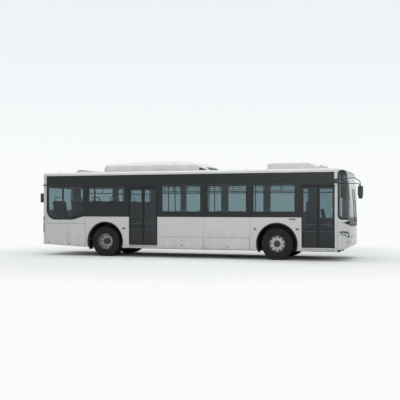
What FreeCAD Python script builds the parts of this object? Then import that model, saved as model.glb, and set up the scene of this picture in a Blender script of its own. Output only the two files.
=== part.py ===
import FreeCAD
import Part
import math
import os
import re
import Sketcher

# A low-entry city bus, in millimetres: +X forward, +Y to the bus's left, +Z up.
# The origin is on the ground, at the middle of the whole vehicle's outline.

doc = FreeCAD.newDocument("CityBus")

# The sizes that drive the model
SIZES = {
    # Whole vehicle
    "body_length": 11050,
    "body_width": 2500,
    "skirt_height": 310,
    "tail_skirt_rise": 80,
    "front_overhang": 2380,
    "rear_overhang": 2540,
    "mirror_reach": 370,
    "mirror_outreach": 170,
    "pod_reach": 90,
    # Shell
    "wall": 60,
    "roof_thickness": 80,
    "cantrail_height": 2830,
    "roof_rise": 150,
    "cove_radius": 130,
    "roof_crown": 20,
    "front_corner_radius": 350,
    "rear_corner_radius": 150,
    "front_mask_depth": 422,
    "rear_mask_depth": 208,
    "panel_gap": 6,
    # Glass
    "glass": 8,
    "seat_gap": 0.3,
    "pane_gap": 4,
    "pane_overlap": 45,
    "window_sill": 1520,
    "window_head": 2530,
    "tail_pane_back": 2300,
    "tail_pane_front": 831,
    "tail_pane_sill": 1290,
    "tail_pane_head": 2479,
    "tail_pane_curve": 330,
    "screen_sill": 1325,
    "screen_head": 2880,
    # Trim outside the skin
    "lip_width": 35,
    "lip_thickness": 12,
    "ledge_reach": 22,
    "ledge_bottom": 2490,
    "ledge_top": 2530,
    "cowl_thickness": 6,
    # Wheels and arches
    "tyre_radius": 525,
    "tyre_width": 280,
    "rim_radius": 286,
    "rim_wall": 16,
    "hand_hole_radius": 27,
    "hand_hole_circle": 222,
    "hub_radius": 110,
    "front_hub_face": 240,
    "rear_hub_face": 110,
    "arch_radius": 655,
    "arch_wall": 10,
    "tyre_outer_face": 1225,
    "twin_gap": 40,
    "housing_inner_face": 590,
    # Steering
    "kingpin_place": 960,
    "kingpin_radius": 20,
    "axle_eye_radius": 50,
    "axle_eye_height": 120,
    "fork_gap": 5,
    "fork_lug": 30,
    "arm_back": 122,
    "tie_rod_height": 325,
    "tie_rod_drop": 100,
    "tie_rod_radius": 16,
    "spindle_radius": 48,
    "ball_radius": 12,
    "ball_eye_radius": 24,
    "beam_bottom": 220,
    "beam_top": 320,
    "beam_half_width": 45,
    # Floors and frame
    "floor_height": 370,
    "floor_thickness": 20,
    "deck_height": 870,
    "deck_start": 775,
    "step_depth": 280,
    "stair_half_width": 330,
    "rail_place": 390,
    "rail_width": 60,
    "rail_depth": 100,
    "rear_rail_bottom": 640,
    "rear_rail_top": 760,
    "tow_pin_back": 420,
    "tow_pin_radius": 20,
    "lug_radius": 45,
    "cross_width": 60,
    # Doors
    "door_width": 1060,
    "door_head": 2430,
    "front_door_place": 810,
    "mid_door_place": 913,
    "leaf_thickness": 40,
    "leaf_edge_gap": 10,
    "leaf_bottom": 420,
    "leaf_top": 2380,
    "leaf_frame": 45,
    "door_plate": 10,
    "sill_plate_top": 415,
    "head_plate_bottom": 2385,
    "crank_pivot_in": 30,
    "crank_pivot_along": 40,
    "crank_width": 30,
    "crank_thickness": 15,
    "crank_pin_radius": 8,
    # Flaps
    "flap_thickness": 30,
    "flap_gap": 5,
    "flap_lip": 40,
    "flap_hinge_rise": 5,
    "low_flap_top": 707,
    "rear_flap_top": 1136,
    "hatch_bottom": 560,
    "hatch_top": 1290,
    "hatch_width": 1760,
    "louvre_height": 18,
    # Inside
    "driver_floor_rise": 210,
    "driver_place": 620,
    "partition_wall": 25,
    "partition_top": 1900,
    "wheel_place": 640,
    "wheel_height": 1230,
    "wheel_ring_radius": 230,
    "wheel_ring_thickness": 16,
    "wheel_rake": 25,
    "seat_width": 430,
    "seat_pitch": 750,
    "seat_height": 440,
    "seat_depth": 410,
    "seat_back_height": 640,
    "seat_corner": 95,
    "bench_outer_gap": 25,
    "rail_tube_radius": 17,
    "grab_rail_height": 2640,
    "grab_rail_place": 330,
}

sheet = doc.addObject("Spreadsheet::Sheet", "Sizes")
for row, (alias, number) in enumerate(SIZES.items(), start=1):
    sheet.set("A%d" % row, alias)
    sheet.set("B%d" % row, str(number))
    sheet.setAlias("B%d" % row, alias)
doc.recompute()

# Places that follow from the sizes, as expressions
TAIL = "(pod_reach - (body_length + mirror_reach + pod_reach) / 2)"
NOSE = "(body_length + pod_reach - (body_length + mirror_reach + pod_reach) / 2)"
FRONT_AXLE = "(%s - front_overhang)" % NOSE
REAR_AXLE = "(%s + rear_overhang)" % TAIL
ROOF = "(cantrail_height + roof_rise)"
SIDE = "(body_width / 2)"
INSIDE = "(body_width / 2 - wall)"
FRONT_SEAM = "(%s - front_mask_depth)" % NOSE
REAR_SEAM = "(%s + rear_mask_depth)" % TAIL
FLOOR_UNDER = "(floor_height - floor_thickness)"
DECK_UNDER = "(deck_height - floor_thickness)"
DECK_FRONT = "(%s + deck_start)" % REAR_AXLE
AXIS_TURN = {
    "X": FreeCAD.Rotation(FreeCAD.Vector(0, 1, 0), 90),
    "Y": FreeCAD.Rotation(FreeCAD.Vector(1, 0, 0), -90),
    "Z": FreeCAD.Rotation(),
}
nodes = []


def formula(text):
    """The text as an expression, each size's name leading to its cell of the sheet."""
    def cell(word):
        return "Sizes." + word.group() if word.group() in SIZES else word.group()
    return re.sub(r"[a-z][a-z0-9_]*", cell, str(text))


def value(text):
    """The number that a place or size comes to."""
    return float(sheet.evalExpression(formula(text)))


def bind(thing, **sizes):
    """Tie properties of a thing to expressions."""
    for name, text in sizes.items():
        thing.setExpression(name, formula(text))


def put(thing, x, y, z, turn=FreeCAD.Rotation()):
    """Stand a thing at a place given by expressions, turned as asked."""
    thing.Placement = FreeCAD.Placement(FreeCAD.Vector(), turn)
    for axis, text in zip("xyz", (x, y, z)):
        thing.setExpression("Placement.Base." + axis, formula(text))
    return thing


def box(x, y, z):
    """A block between a low and a high place along each axis."""
    block = doc.addObject("Part::Box", "Block")
    for size, (low, high) in zip(("Length", "Width", "Height"), (x, y, z)):
        block.setExpression(size, formula("(%s) - (%s)" % (high, low)))
    return put(block, x[0], y[0], z[0])


def cylinder(axis, x, y, z, radius, length):
    """A round bar that starts at a place and runs along an axis."""
    bar = doc.addObject("Part::Cylinder", "Bar")
    bind(bar, Radius=radius, Height=length)
    return put(bar, x, y, z, AXIS_TURN[axis])


def fuse(*shapes):
    """All shapes as one."""
    whole = doc.addObject("Part::MultiFuse", "Joined")
    whole.Shapes = list(shapes)
    return whole


def common(*shapes):
    """What all shapes share."""
    shared = doc.addObject("Part::MultiCommon", "Shared")
    shared.Shapes = list(shapes)
    return shared


def cut(base, *tools):
    """A shape with others taken away."""
    rest = doc.addObject("Part::Cut", "Cut")
    rest.Base = base
    rest.Tool = tools[0] if len(tools) == 1 else fuse(*tools)
    return rest


def group(*shapes):
    """Solids that stand apart but share a node."""
    together = doc.addObject("Part::Compound", "Set")
    together.Links = list(shapes)
    return together


def mirror(shape):
    """The same shape on the other side of the bus."""
    other = doc.addObject("Part::Mirroring", "Mirrored")
    other.Source = shape
    other.Normal = FreeCAD.Vector(0, 1, 0)
    return other


def node(shape, label):
    """Name a finished sub-part."""
    shape.Label = label
    nodes.append(shape)
    return shape


def sketch_outline(body, plane, corners):
    """A closed sketch on one of the body's planes, each corner tied to the sheet."""
    sketch = body.newObject("Sketcher::SketchObject", "Outline")
    support = next(item for item in body.Origin.OriginFeatures if item.Role == plane)
    sketch.AttachmentSupport = [(support, "")]
    sketch.MapMode = "FlatFace"
    points = [FreeCAD.Vector(value(across), value(up), 0) for across, up in corners]
    count = len(points)
    sides = [Part.LineSegment(points[i], points[(i + 1) % count]) for i in range(count)]
    sketch.addGeometry(sides, False)
    sketch.addConstraint([Sketcher.Constraint("Coincident", i, 2, (i + 1) % count, 1) for i in range(count)])
    for i, corner in enumerate(corners):
        for kind, text in zip(("DistanceX", "DistanceY"), corner):
            index = sketch.addConstraint(Sketcher.Constraint(kind, -1, 1, i, 1, value(text)))
            sketch.setExpression("Constraints[%d]" % index, formula(text))
    return sketch


def prism(plane, corners, low, high):
    """A padded sketch between two places along its plane's axis."""
    body = doc.addObject("PartDesign::Body", "Prism")
    sketch = sketch_outline(body, plane, corners)
    # The XZ plane faces backwards along Y, so there the sketch lies at the high end
    start = "-(%s)" % high if plane == "XZ_Plane" else low
    sketch.setExpression("AttachmentOffset.Base.z", formula(start))
    pad = body.newObject("PartDesign::Pad", "Pad")
    pad.Profile = sketch
    pad.setExpression("Length", formula("(%s) - (%s)" % (high, low)))
    return body


def turned(corners, axis_place, turn_axis="Y"):
    """A sketch in radius and distance along the axle, revolved about it."""
    body = doc.addObject("PartDesign::Body", "Turned")
    sketch = sketch_outline(body, "XZ_Plane", corners)
    spin = body.newObject("PartDesign::Revolution", "Revolution")
    spin.Profile = sketch
    spin.ReferenceAxis = (sketch, ["V_Axis"])
    spin.Angle = 360
    put(body, *axis_place, AXIS_TURN[turn_axis])
    return body


def flat(plane, start, *steps):
    """A face in the XZ, XY or YZ plane: each step is a point, or an arc's middle and end."""
    def place(pair):
        across, up = value(pair[0]), value(pair[1])
        return {"XZ": (across, 0, up), "XY": (across, up, 0), "YZ": (0, across, up)}[plane]
    here = FreeCAD.Vector(*place(start))
    edges = []
    for step in steps:
        if isinstance(step[0], tuple):
            middle, there = (FreeCAD.Vector(*place(pair)) for pair in step)
            edges.append(Part.Arc(here, middle, there).toShape())
        else:
            there = FreeCAD.Vector(*place(step))
            edges.append(Part.makeLine(here, there))
        here = there
    feature = doc.addObject("Part::Feature", "Face")
    feature.Shape = Part.Face(Part.Wire(edges))
    return feature


def drawn(face, axis, low, high):
    """A face drawn out along an axis between two places."""
    solid = doc.addObject("Part::Extrusion", "Drawn")
    solid.Base = face
    solid.DirMode = "Custom"
    solid.Dir = {"X": FreeCAD.Vector(1, 0, 0), "Y": FreeCAD.Vector(0, 1, 0), "Z": FreeCAD.Vector(0, 0, 1)}[axis]
    solid.Solid = True
    bind(solid, LengthFwd=high, LengthRev="-(%s)" % low)
    return solid


def pipe(points, radius, bend):
    """A round bar along straight runs joined by tangent arcs."""
    places = [FreeCAD.Vector(*(value(text) for text in point)) for point in points]
    bend = value(bend)
    edges = []
    here = places[0]
    for before, corner, after in zip(places, places[1:], places[2:]):
        back = (before - corner).normalize()
        ahead = (after - corner).normalize()
        half_turn = (math.pi - back.getAngle(ahead)) / 2
        reach = bend * math.tan(half_turn)
        start, end = corner + back * reach, corner + ahead * reach
        centre = corner + (back + ahead).normalize() * (bend / math.cos(half_turn))
        middle = centre + (corner - centre).normalize() * bend
        edges.append(Part.makeLine(here, start))
        edges.append(Part.Arc(start, middle, end).toShape())
        here = end
    edges.append(Part.makeLine(here, places[-1]))
    path = Part.Wire(edges)
    ring = Part.Wire(Part.makeCircle(value(radius), places[0], places[1] - places[0]))
    feature = doc.addObject("Part::Feature", "Pipe")
    feature.Shape = path.makePipeShell([ring], True, False)
    return feature


# The body's outer form: a side view, a plan and a cross-section, each drawn out and shared

def end_in_plan(end_place, forward, half, corner, lean_deg):
    """A rounded end seen from above: where its side stops, and its corner arc's middle and end.

    The end's shallow arc and the corner's arc share a tangent where both lean by lean_deg.
    """
    lean = math.radians(lean_deg)
    sweep = (half - corner + corner * math.sin(lean)) / math.sin(lean)
    corner_x = end_place - forward * (sweep - (sweep - corner) * math.cos(lean))
    corner_y = half - corner

    def at(angle):
        return corner_x + forward * corner * math.cos(angle), corner_y + corner * math.sin(angle)
    return (corner_x, half), at((math.pi / 2 + lean) / 2), at(lean)


def other_side(point):
    """The same point of a plan on the bus's right."""
    return point[0], -point[1]


def envelope(inset_text, open_below=False):
    """The body's outer form, moved inwards by an inset; the cabin's form has no floor."""
    inset = value(inset_text)
    nose, tail, top = value(NOSE) - inset, value(TAIL) + inset, value(ROOF) - inset
    half = value(SIDE) - inset
    skirt = value("skirt_height")
    low = skirt - 110 if open_below else skirt
    tail_low = low if open_below else skirt + value("tail_skirt_rise")
    side = flat(
        "XZ",
        (tail + 260, top),
        (nose - 900, top),
        ((nose - 560, top - 18), (nose - 290, top - 60)),
        ((nose - 172, top - 138), (nose - 137, top - 265)),
        ((nose - 50, 1930), (nose, 1000)),
        ((nose - 14, 740), (nose - 57, 525)),
        ((nose - 120, 436), (nose - 260, 380)),
        (nose - (260 if open_below else 800), low),
        (tail + 1780, low),
        (tail + 90, tail_low),
        ((tail + 24, tail_low + 24), (tail, tail_low + 90)),
        (tail, 1400),
        (tail + 16, top - 200),
        ((tail + 76, top - 62), (tail + 260, top)),
    )
    front = end_in_plan(nose, 1, half, value("front_corner_radius") - inset, 9.7)
    rear = end_in_plan(tail, -1, half, value("rear_corner_radius") - inset, 3)
    plan = flat(
        "XY",
        rear[0],
        front[0],
        (front[1], front[2]),
        ((nose, 0), other_side(front[2])),
        (other_side(front[1]), other_side(front[0])),
        other_side(rear[0]),
        (other_side(rear[1]), other_side(rear[2])),
        ((tail, 0), rear[2]),
        (rear[1], rear[0]),
    )
    cove = value("cove_radius") - inset
    edge = top - value("roof_crown")
    flat_half = half - cove
    bow = cove * math.sqrt(0.5)
    section = flat(
        "YZ",
        (-half, 0),
        (half, 0),
        (half, edge - cove),
        ((flat_half + bow, edge - cove + bow), (flat_half, edge)),
        ((0, top), (-flat_half, edge)),
        ((-flat_half - bow, edge - cove + bow), (-half, edge - cove)),
        (-half, 0),
    )
    return common(
        drawn(side, "Y", "-body_width", "body_width"),
        drawn(plan, "Z", "0", ROOF + " + 100"),
        drawn(section, "X", "-body_length", "body_length"),
    )


outer = envelope("0")
glass_back = envelope("glass")
pane_seat = envelope("glass + seat_gap")
flap_back = envelope("flap_thickness")
flap_seat = envelope("flap_thickness + seat_gap")
cabin = envelope("wall", open_below=True)

# Side walls, 60 mm thick, between the rear and front masks

FRONT_DOOR = "(%s + front_door_place)" % FRONT_AXLE
MID_DOOR = "(%s + mid_door_place)" % REAR_AXLE
WINDOW_HEIGHT = ("window_sill", "window_head")

# The bay between the two doors, and the skirt between the middle door and the front wheel
MID_DOOR_END = "(%s + door_width)" % MID_DOOR
DOOR_BAY = "(%s - %s)" % (FRONT_DOOR, MID_DOOR_END)
SKIRT_BAY = "(%s - arch_radius - %s)" % (FRONT_AXLE, MID_DOOR_END)


def in_door_bay(start, end):
    """Two places at shares of the bay between the doors."""
    return tuple("(%s + %s * %r)" % (MID_DOOR_END, DOOR_BAY, share) for share in (start, end))


def in_skirt_bay(start, end):
    """Two places at shares of the skirt between the middle door and the front wheel."""
    return tuple("(%s + %s * %r)" % (MID_DOOR_END, SKIRT_BAY, share) for share in (start, end))


# Each square pane of the right side: its ends and its height
RIGHT_PANES = (
    (REAR_AXLE + " - 681", REAR_AXLE + " + 764", "1876", "2465"),
    (*in_door_bay(0.0256, 0.3199), *WINDOW_HEIGHT),
    (*in_door_bay(0.3547, 0.6390), *WINDOW_HEIGHT),
    (*in_door_bay(0.6718, 0.9637), *WINDOW_HEIGHT),
)
# The left side has windows where the right has doors, and a driver's window
LEFT_PANES = RIGHT_PANES + (
    (MID_DOOR + " + 1", MID_DOOR_END + " - 3", *WINDOW_HEIGHT),
    (FRONT_AXLE + " + 850", FRONT_AXLE + " + 1830", "1300", "window_head"),
)


def tail_pane(side_low, side_high, grow):
    """The rearmost pane, alike on both sides: curved at its lower tail end, with a sill that rises forward."""
    grow = value(grow)
    start = value(REAR_AXLE + " - tail_pane_back") - grow
    end = value(REAR_AXLE + " - tail_pane_front") + grow
    low, high = value("tail_pane_sill") - grow, value("tail_pane_head") + grow
    curve = value("tail_pane_curve") + grow
    bow = curve * (1 - math.sqrt(0.5))
    face = flat(
        "XZ",
        (start + curve, low),
        (end - 520, low),
        ((end - 240, low + 34), (end, low + 118)),
        (end, high),
        (start, high),
        (start, low + curve),
        ((start + bow, low + bow), (start + curve, low)),
    )
    return drawn(face, "Y", side_low, side_high)


def along_wall(panes, side_low, side_high, grow):
    """Solids over all panes' outlines, grown at every edge, between two places across the bus."""
    blocks = [tail_pane(side_low, side_high, grow)]
    for start, end, low, high in panes:
        blocks.append(box(
            ("%s - (%s)" % (start, grow), "%s + (%s)" % (end, grow)),
            (side_low, side_high),
            ("%s - (%s)" % (low, grow), "%s + (%s)" % (high, grow)),
        ))
    return blocks


# Each flap: its ends and its top
RIGHT_FLAPS = {
    "flap_rear_right_a": (REAR_AXLE + " - 2326", REAR_AXLE + " - 1482", "rear_flap_top"),
    "flap_rear_right_b": (REAR_AXLE + " - 1470", REAR_AXLE + " - 760", "rear_flap_top"),
    "flap_low_right_a": (*in_skirt_bay(0.0248, 0.4660), "low_flap_top"),
    "flap_low_right_b": (*in_skirt_bay(0.4891, 0.9266), "low_flap_top"),
}
LEFT_FLAPS = {
    "flap_rear_left": (REAR_AXLE + " - 2326", REAR_AXLE + " - 760", "rear_flap_top"),
    "flap_low_left": (*in_skirt_bay(0.0248, 0.4660), "low_flap_top"),
}
# The skirt rises towards the tail, so the flaps' lower edge follows the same line
SKIRT_LINE_BACK = "(%s + 90)" % TAIL
SKIRT_LINE_FRONT = "(%s + 1780)" % TAIL


def skirt_at(place):
    """The skirt's lower edge at a place along the bus."""
    rise = "tail_skirt_rise * max(0, (%s - (%s)) / (%s - %s))"
    return "(skirt_height + %s)" % (rise % (SKIRT_LINE_FRONT, place, SKIRT_LINE_FRONT, SKIRT_LINE_BACK))


def flap_outline(start, end, top, grow, lift):
    """A flap's corners: its sides and top grown, and its lower edge lifted off the skirt's line."""
    back = "(%s - (%s))" % (start, grow)
    front = "(%s + (%s))" % (end, grow)
    return [
        (back, "%s + (%s)" % (skirt_at(back), lift)),
        (front, "%s + (%s)" % (skirt_at(front), lift)),
        (front, "%s + (%s)" % (top, grow)),
        (back, "%s + (%s)" % (top, grow)),
    ]


def flap_pockets(flaps):
    """What the left wall loses for its flaps: a seat for each, and the way through behind it."""
    tools = []
    for start, end, top in flaps.values():
        seat = flap_outline(start, end, top + " + flap_hinge_rise - 2", "flap_gap", "-60")
        tools.append(prism("XZ_Plane", seat, "%s - flap_thickness - seat_gap" % SIDE, "%s + 10" % SIDE))
        way = flap_outline(start, end, top, "-flap_lip", "flap_lip")
        tools.append(prism("XZ_Plane", way, "%s - 10" % INSIDE, SIDE))
    return tools


def flap_panel(start, end, top):
    """A flap of the left side."""
    return prism("XZ_Plane", flap_outline(start, end, top, "0", "2"), "%s - flap_thickness" % SIDE, SIDE)


def wall_slab():
    """The left wall before anything is cut from it."""
    low = [
        (REAR_SEAM + " + panel_gap", skirt_at(REAR_SEAM + " + panel_gap")),
        (SKIRT_LINE_FRONT, "skirt_height"),
        (FRONT_SEAM + " - panel_gap", "skirt_height"),
        (FRONT_SEAM + " - panel_gap", "cantrail_height"),
        (REAR_SEAM + " + panel_gap", "cantrail_height"),
    ]
    return prism("XZ_Plane", low, INSIDE, SIDE)


def arch_cuts():
    """Round openings over the wheels, through the left wall."""
    return [
        cylinder("Y", axle, "%s - 10" % INSIDE, "tyre_radius", "arch_radius", "wall + 20")
        for axle in (FRONT_AXLE, REAR_AXLE)
    ]


def pane_cuts(panes):
    """Each pane's rebate in the outer face, and the daylight opening through the wall."""
    rebates = along_wall(panes, "%s - glass - seat_gap" % SIDE, "%s + 10" % SIDE, "pane_gap")
    openings = along_wall(panes, "%s - 10" % INSIDE, SIDE, "-pane_overlap")
    return rebates + openings


def door_cuts(start):
    """A door's opening through the left wall, with thin plates left over its arms at sill and head.

    The wall is made of panels that butt along both door posts, so a fine gap runs up each side of the doorway.
    """
    end = "(%s + door_width)" % start
    inner = box((start, end), ("%s - 10" % INSIDE, "%s - door_plate" % SIDE), ("floor_height", "door_head"))
    outer_way = box(
        (start, end), ("%s - door_plate - 1" % SIDE, "%s + 10" % SIDE), ("sill_plate_top", "head_plate_bottom"),
    )
    panel_ends = [
        box(x, ("%s - 10" % INSIDE, "%s + 10" % SIDE), ("skirt_height - 10", "cantrail_height + 10"))
        for x in ((start + " - seat_gap", start), (end, end + " + seat_gap"))
    ]
    return [inner, outer_way, *panel_ends]


right_cuts = arch_cuts() + pane_cuts(RIGHT_PANES) + flap_pockets(RIGHT_FLAPS)
right_cuts += door_cuts(FRONT_DOOR) + door_cuts(MID_DOOR)
node(mirror(cut(wall_slab(), *right_cuts)), "right_side_wall")
left_cuts = arch_cuts() + pane_cuts(LEFT_PANES) + flap_pockets(LEFT_FLAPS)
node(cut(wall_slab(), *left_cuts), "left_side_wall")
for label, flap in RIGHT_FLAPS.items():
    node(mirror(flap_panel(*flap)), label)
# The radiator behind the left rear flap breathes through louvres
GRILLE_X = (REAR_AXLE + " - 2210", REAR_AXLE + " - 1290")
louvres = [
    box(GRILLE_X, (INSIDE, SIDE + " + 10"), (str(low), "%d + louvre_height" % low))
    for low in range(600, 1000, 45)
]
node(cut(flap_panel(*LEFT_FLAPS["flap_rear_left"]), *louvres), "flap_rear_left")
node(flap_panel(*LEFT_FLAPS["flap_low_left"]), "flap_low_left")


# Roof, and the rounded masks at both ends

BODY_SPAN = ("-body_width", "body_width")
ALL_UP = ("0", ROOF + " + 100")
roof_blank = common(outer, box((REAR_SEAM, FRONT_SEAM), BODY_SPAN, ("cantrail_height", ROOF + " + 100")))
roof_hollow = box(
    (REAR_SEAM + " - 10", FRONT_SEAM + " + 10"),
    ("-" + INSIDE, INSIDE),
    ("0", ROOF + " - roof_thickness"),
)
node(cut(roof_blank, roof_hollow), "roof_shell")

# The windscreen wraps round both corners, its lower ends rounded
SCREEN_END = "(%s + 14)" % FRONT_SEAM


def screen_zone(grow):
    """What the windscreen covers, seen from the side, grown at every edge."""
    grow = value(grow)
    back, low, high = value(SCREEN_END) - grow, value("screen_sill") - grow, value("screen_head") + grow
    ahead, curve, top_curve = value(NOSE) + 100, 130 + grow, 100 + grow
    bow, top_bow = (radius * (1 - math.sqrt(0.5)) for radius in (curve, top_curve))
    face = flat(
        "XZ",
        (back + curve, low),
        (ahead, low),
        (ahead, high),
        (back + top_curve, high),
        ((back + top_bow, high - top_bow), (back, high - top_curve)),
        (back, low + curve),
        ((back + bow, low + bow), (back + curve, low)),
    )
    return drawn(face, "Y", "-body_width", "body_width")


front_block = box((FRONT_SEAM, NOSE + " + 100"), BODY_SPAN, ALL_UP)
node(common(cut(outer, glass_back), screen_zone("0"), front_block), "windscreen")
front_shell = common(cut(outer, cabin), front_block)
screen_seat = cut(common(screen_zone("pane_gap"), front_block), pane_seat)
screen_way = screen_zone("-70")

# Headlamps: almond shaped, on the corners, set into the mask


def headlamp_zone(grow):
    """The left headlamp's outline seen from the front, grown at its edges."""
    face = flat(
        "YZ",
        (610 - grow, 752 - grow),
        ((900, 742 - grow), (1180 + grow, 800 - grow)),
        ((1262 + grow, 870), (1280 + grow, 950 + grow)),
        ((1000, 922 + grow), (610 - grow, 800 + grow)),
        (610 - grow, 752 - grow),
    )
    return drawn(face, "X", FRONT_SEAM + " + 60", NOSE + " + 100")


lamp_zone = headlamp_zone(0)
lamp_hole = headlamp_zone(3)
lamp_back = envelope("40")
lamp_left = common(cut(outer, lamp_back), lamp_zone)
lamp_pocket = cut(lamp_hole, envelope("40 + seat_gap"))
node(cut(front_shell, screen_seat, screen_way, lamp_pocket, mirror(lamp_pocket)), "front_mask")
node(group(lamp_left, mirror(lamp_left)), "headlamps")

# Rear mask: window above, engine hatch below, lamps in the corners
rear_block = box((TAIL + " - 100", REAR_SEAM), BODY_SPAN, ALL_UP)
rear_shell = common(cut(outer, cabin), rear_block)


def rear_zone(half_width, low, high, grow):
    """A block over an outline of the rear face, grown at its edges."""
    return box(
        (TAIL + " - 100", TAIL + " + 150"),
        ("-(%s + (%s))" % (half_width, grow), "%s + (%s)" % (half_width, grow)),
        ("%s - (%s)" % (low, grow), "%s + (%s)" % (high, grow)),
    )


HATCH = ("hatch_width / 2", "hatch_bottom", "hatch_top")
REAR_PANE = ("1000", "1560", "2480")
hatch_seat = cut(
    box(
        (TAIL + " - 100", TAIL + " + 150"),
        ("-(hatch_width / 2 + flap_gap)", "hatch_width / 2 + flap_gap"),
        ("hatch_bottom - flap_gap", "hatch_top + flap_hinge_rise + 3"),
    ),
    flap_seat,
)
pane_recess = cut(rear_zone(*REAR_PANE, "pane_gap"), pane_seat)
rear_cuts = [hatch_seat, rear_zone(*HATCH, "-flap_lip"), pane_recess, rear_zone(*REAR_PANE, "-pane_overlap")]
hatch_louvres = [
    box((TAIL + " - 50", TAIL + " + 100"), ("-620", "620"), (str(low), "%d + louvre_height" % low))
    for low in range(640, 860, 45)
]
node(cut(common(cut(outer, flap_back), rear_zone(*HATCH, "0")), *hatch_louvres), "engine_hatch")
rear_pane = common(cut(outer, glass_back), rear_zone(*REAR_PANE, "0"))

# Rear lamps: a tall cluster in each corner, and a pod high on each side
LAMP_ZONES = (("820", "1180"), ("1230", "1400"))
lamp_blocks = [
    box((TAIL + " - 50", TAIL + " + 120"), ("1090", SIDE + " + 50"), span) for span in LAMP_ZONES
]
lamp_bodies = [common(cut(outer, glass_back), block) for block in lamp_blocks]
lamp_holes = [
    cut(
        box((TAIL + " - 50", TAIL + " + 122"), ("1088", SIDE + " + 50"), (low + " - 2", high + " + 2")),
        pane_seat,
    )
    for low, high in LAMP_ZONES
]
pod = doc.addObject("Part::Fillet", "PodRounded")
pod_block = box((TAIL + " - pod_reach", TAIL + " + 70"), ("1095", "1175"), ("1890", "2220"))
doc.recompute()
pod.Base = pod_block
pod.Edges = [(i, 26, 26) for i in range(1, 13)]
skin = envelope("0 - seat_gap")
pod_left = cut(pod, skin)
rear_lamp_set = [*lamp_bodies, pod_left]
node(group(*rear_lamp_set, *[mirror(lamp) for lamp in rear_lamp_set]), "rear_lamps")
node(cut(rear_shell, *rear_cuts, *lamp_holes, *[mirror(hole) for hole in lamp_holes]), "rear_mask")

# Rubber lips round the wheel arches, and a ledge over the rear windows that runs round the tail

def arch_lip(axle):
    """A lip on the left wall, from one end of the arch's skirt to the other."""
    ring = turned(
        [
            ("arch_radius", "seat_gap"),
            ("arch_radius + lip_width", "seat_gap"),
            ("arch_radius + lip_width - 3", "lip_thickness * 0.6"),
            ("arch_radius + lip_width * 0.6", "lip_thickness"),
            ("arch_radius + 6", "lip_thickness"),
            ("arch_radius", "lip_thickness * 0.5"),
        ],
        (axle, SIDE, "tyre_radius"),
    )
    below = box(
        (axle + " - arch_radius * 2", axle + " + arch_radius * 2"),
        (SIDE + " - 10", SIDE + " + 50"),
        ("-arch_radius", "skirt_height"),
    )
    return cut(ring, below)


lips = [arch_lip(axle) for axle in (FRONT_AXLE, REAR_AXLE)]
node(group(*lips, *[mirror(lip) for lip in lips]), "arch_lips")
ledge_zone = box((TAIL + " - 100", REAR_AXLE + " - tail_pane_front"), BODY_SPAN, ("ledge_bottom", "ledge_top"))
node(common(cut(envelope("-ledge_reach"), skin), ledge_zone), "rain_ledge")

# Side and rear panes
PANE_FACES = ("%s - glass" % SIDE, SIDE)
right_panes = [mirror(pane) for pane in along_wall(RIGHT_PANES, *PANE_FACES, "0")]
node(group(*right_panes, *along_wall(LEFT_PANES, *PANE_FACES, "0"), rear_pane), "window_panes")


# Roof units

def roof_unit(start, end, half_width, sunk, rise, nose_run, corner):
    """A cover on the roof with a sloped front and rounded upper edges."""
    low, high = "(%s - (%s))" % (ROOF, sunk), "(%s + %s)" % (ROOF, rise)
    block = prism(
        "XZ_Plane",
        [(start, low), (end, low), ("%s - (%s)" % (end, nose_run), high), (start, high)],
        "-" + half_width,
        half_width,
    )
    doc.recompute()
    rounded = doc.addObject("Part::Fillet", "Rounded")
    rounded.Base = block
    top = value(high)
    edges = [
        index for index, edge in enumerate(block.Shape.Edges, start=1)
        if edge.BoundBox.ZMax > top - 1 and edge.BoundBox.XLength + edge.BoundBox.ZLength > 1
    ]
    rounded.Edges = [(index, corner, corner) for index in edges]
    return cut(rounded, outer)


# Each roof unit: its ends, half its width, how far below and above the roof it reaches, and its front's slope
ROOF_UNITS = {
    "pod_base": (REAR_AXLE + " - 275", REAR_AXLE + " + 3745", "880", "40", "290", "620", 60),
    "pod_crown": (REAR_AXLE + " + 620", REAR_AXLE + " + 3190", "560", "-120", "332", "420", 40),
    "front_pod": (FRONT_AXLE + " - 450", FRONT_AXLE + " + 1147", "700", "40", "210", "260", 50),
    "hatch_rear": (REAR_AXLE + " - 1605", REAR_AXLE + " - 885", "380", "40", "80", "60", 25),
    "hatch_front": (FRONT_AXLE + " + 1175", FRONT_AXLE + " + 1505", "280", "80", "100", "60", 25),
}
units = {name: roof_unit(*sizes) for name, sizes in ROOF_UNITS.items()}
node(fuse(units["pod_base"], units["pod_crown"]), "aircon_pod")
node(units["front_pod"], "front_roof_pod")
node(group(units["hatch_rear"], units["hatch_front"]), "roof_hatches")


# Wheels: each profile is in distance from the axle and distance along it from the tyre's inner face

CASING_FLATS = 48
HAND_HOLE_COUNT = 10


def casing(axle, face):
    """A tyre of the left side: rings of even flats round its section, one flat on the ground, hollow inside."""
    radius, rim, width = (value(name) for name in ("tyre_radius", "rim_radius", "tyre_width"))
    inner_half = [(rim, 32), (rim + 30, 14), ((rim + radius) / 2, 0), (radius - 30, 8), (radius, 40)]
    outer_half = [(ring_radius, width - across) for ring_radius, across in reversed(inner_half)]
    half_flat = math.pi / CASING_FLATS

    def corner(ring, index):
        ring_radius, across = ring
        angle = half_flat * (2 * index + 1)
        reach = ring_radius / math.cos(half_flat)
        return FreeCAD.Vector(reach * math.cos(angle), across, reach * math.sin(angle))
    rings = inner_half + outer_half
    flats = []
    for ring, following in zip(rings, rings[1:] + rings[:1]):
        for index in range(CASING_FLATS):
            near = [corner(ring, index), corner(ring, index + 1)]
            far = [corner(following, index + 1), corner(following, index)]
            flats.append(Part.Face(Part.makePolygon(near + far + near[:1])))
    feature = doc.addObject("Part::Feature", "Casing")
    feature.Shape = Part.Solid(Part.makeShell(flats))
    return put(feature, axle, face, "tyre_radius")


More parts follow.
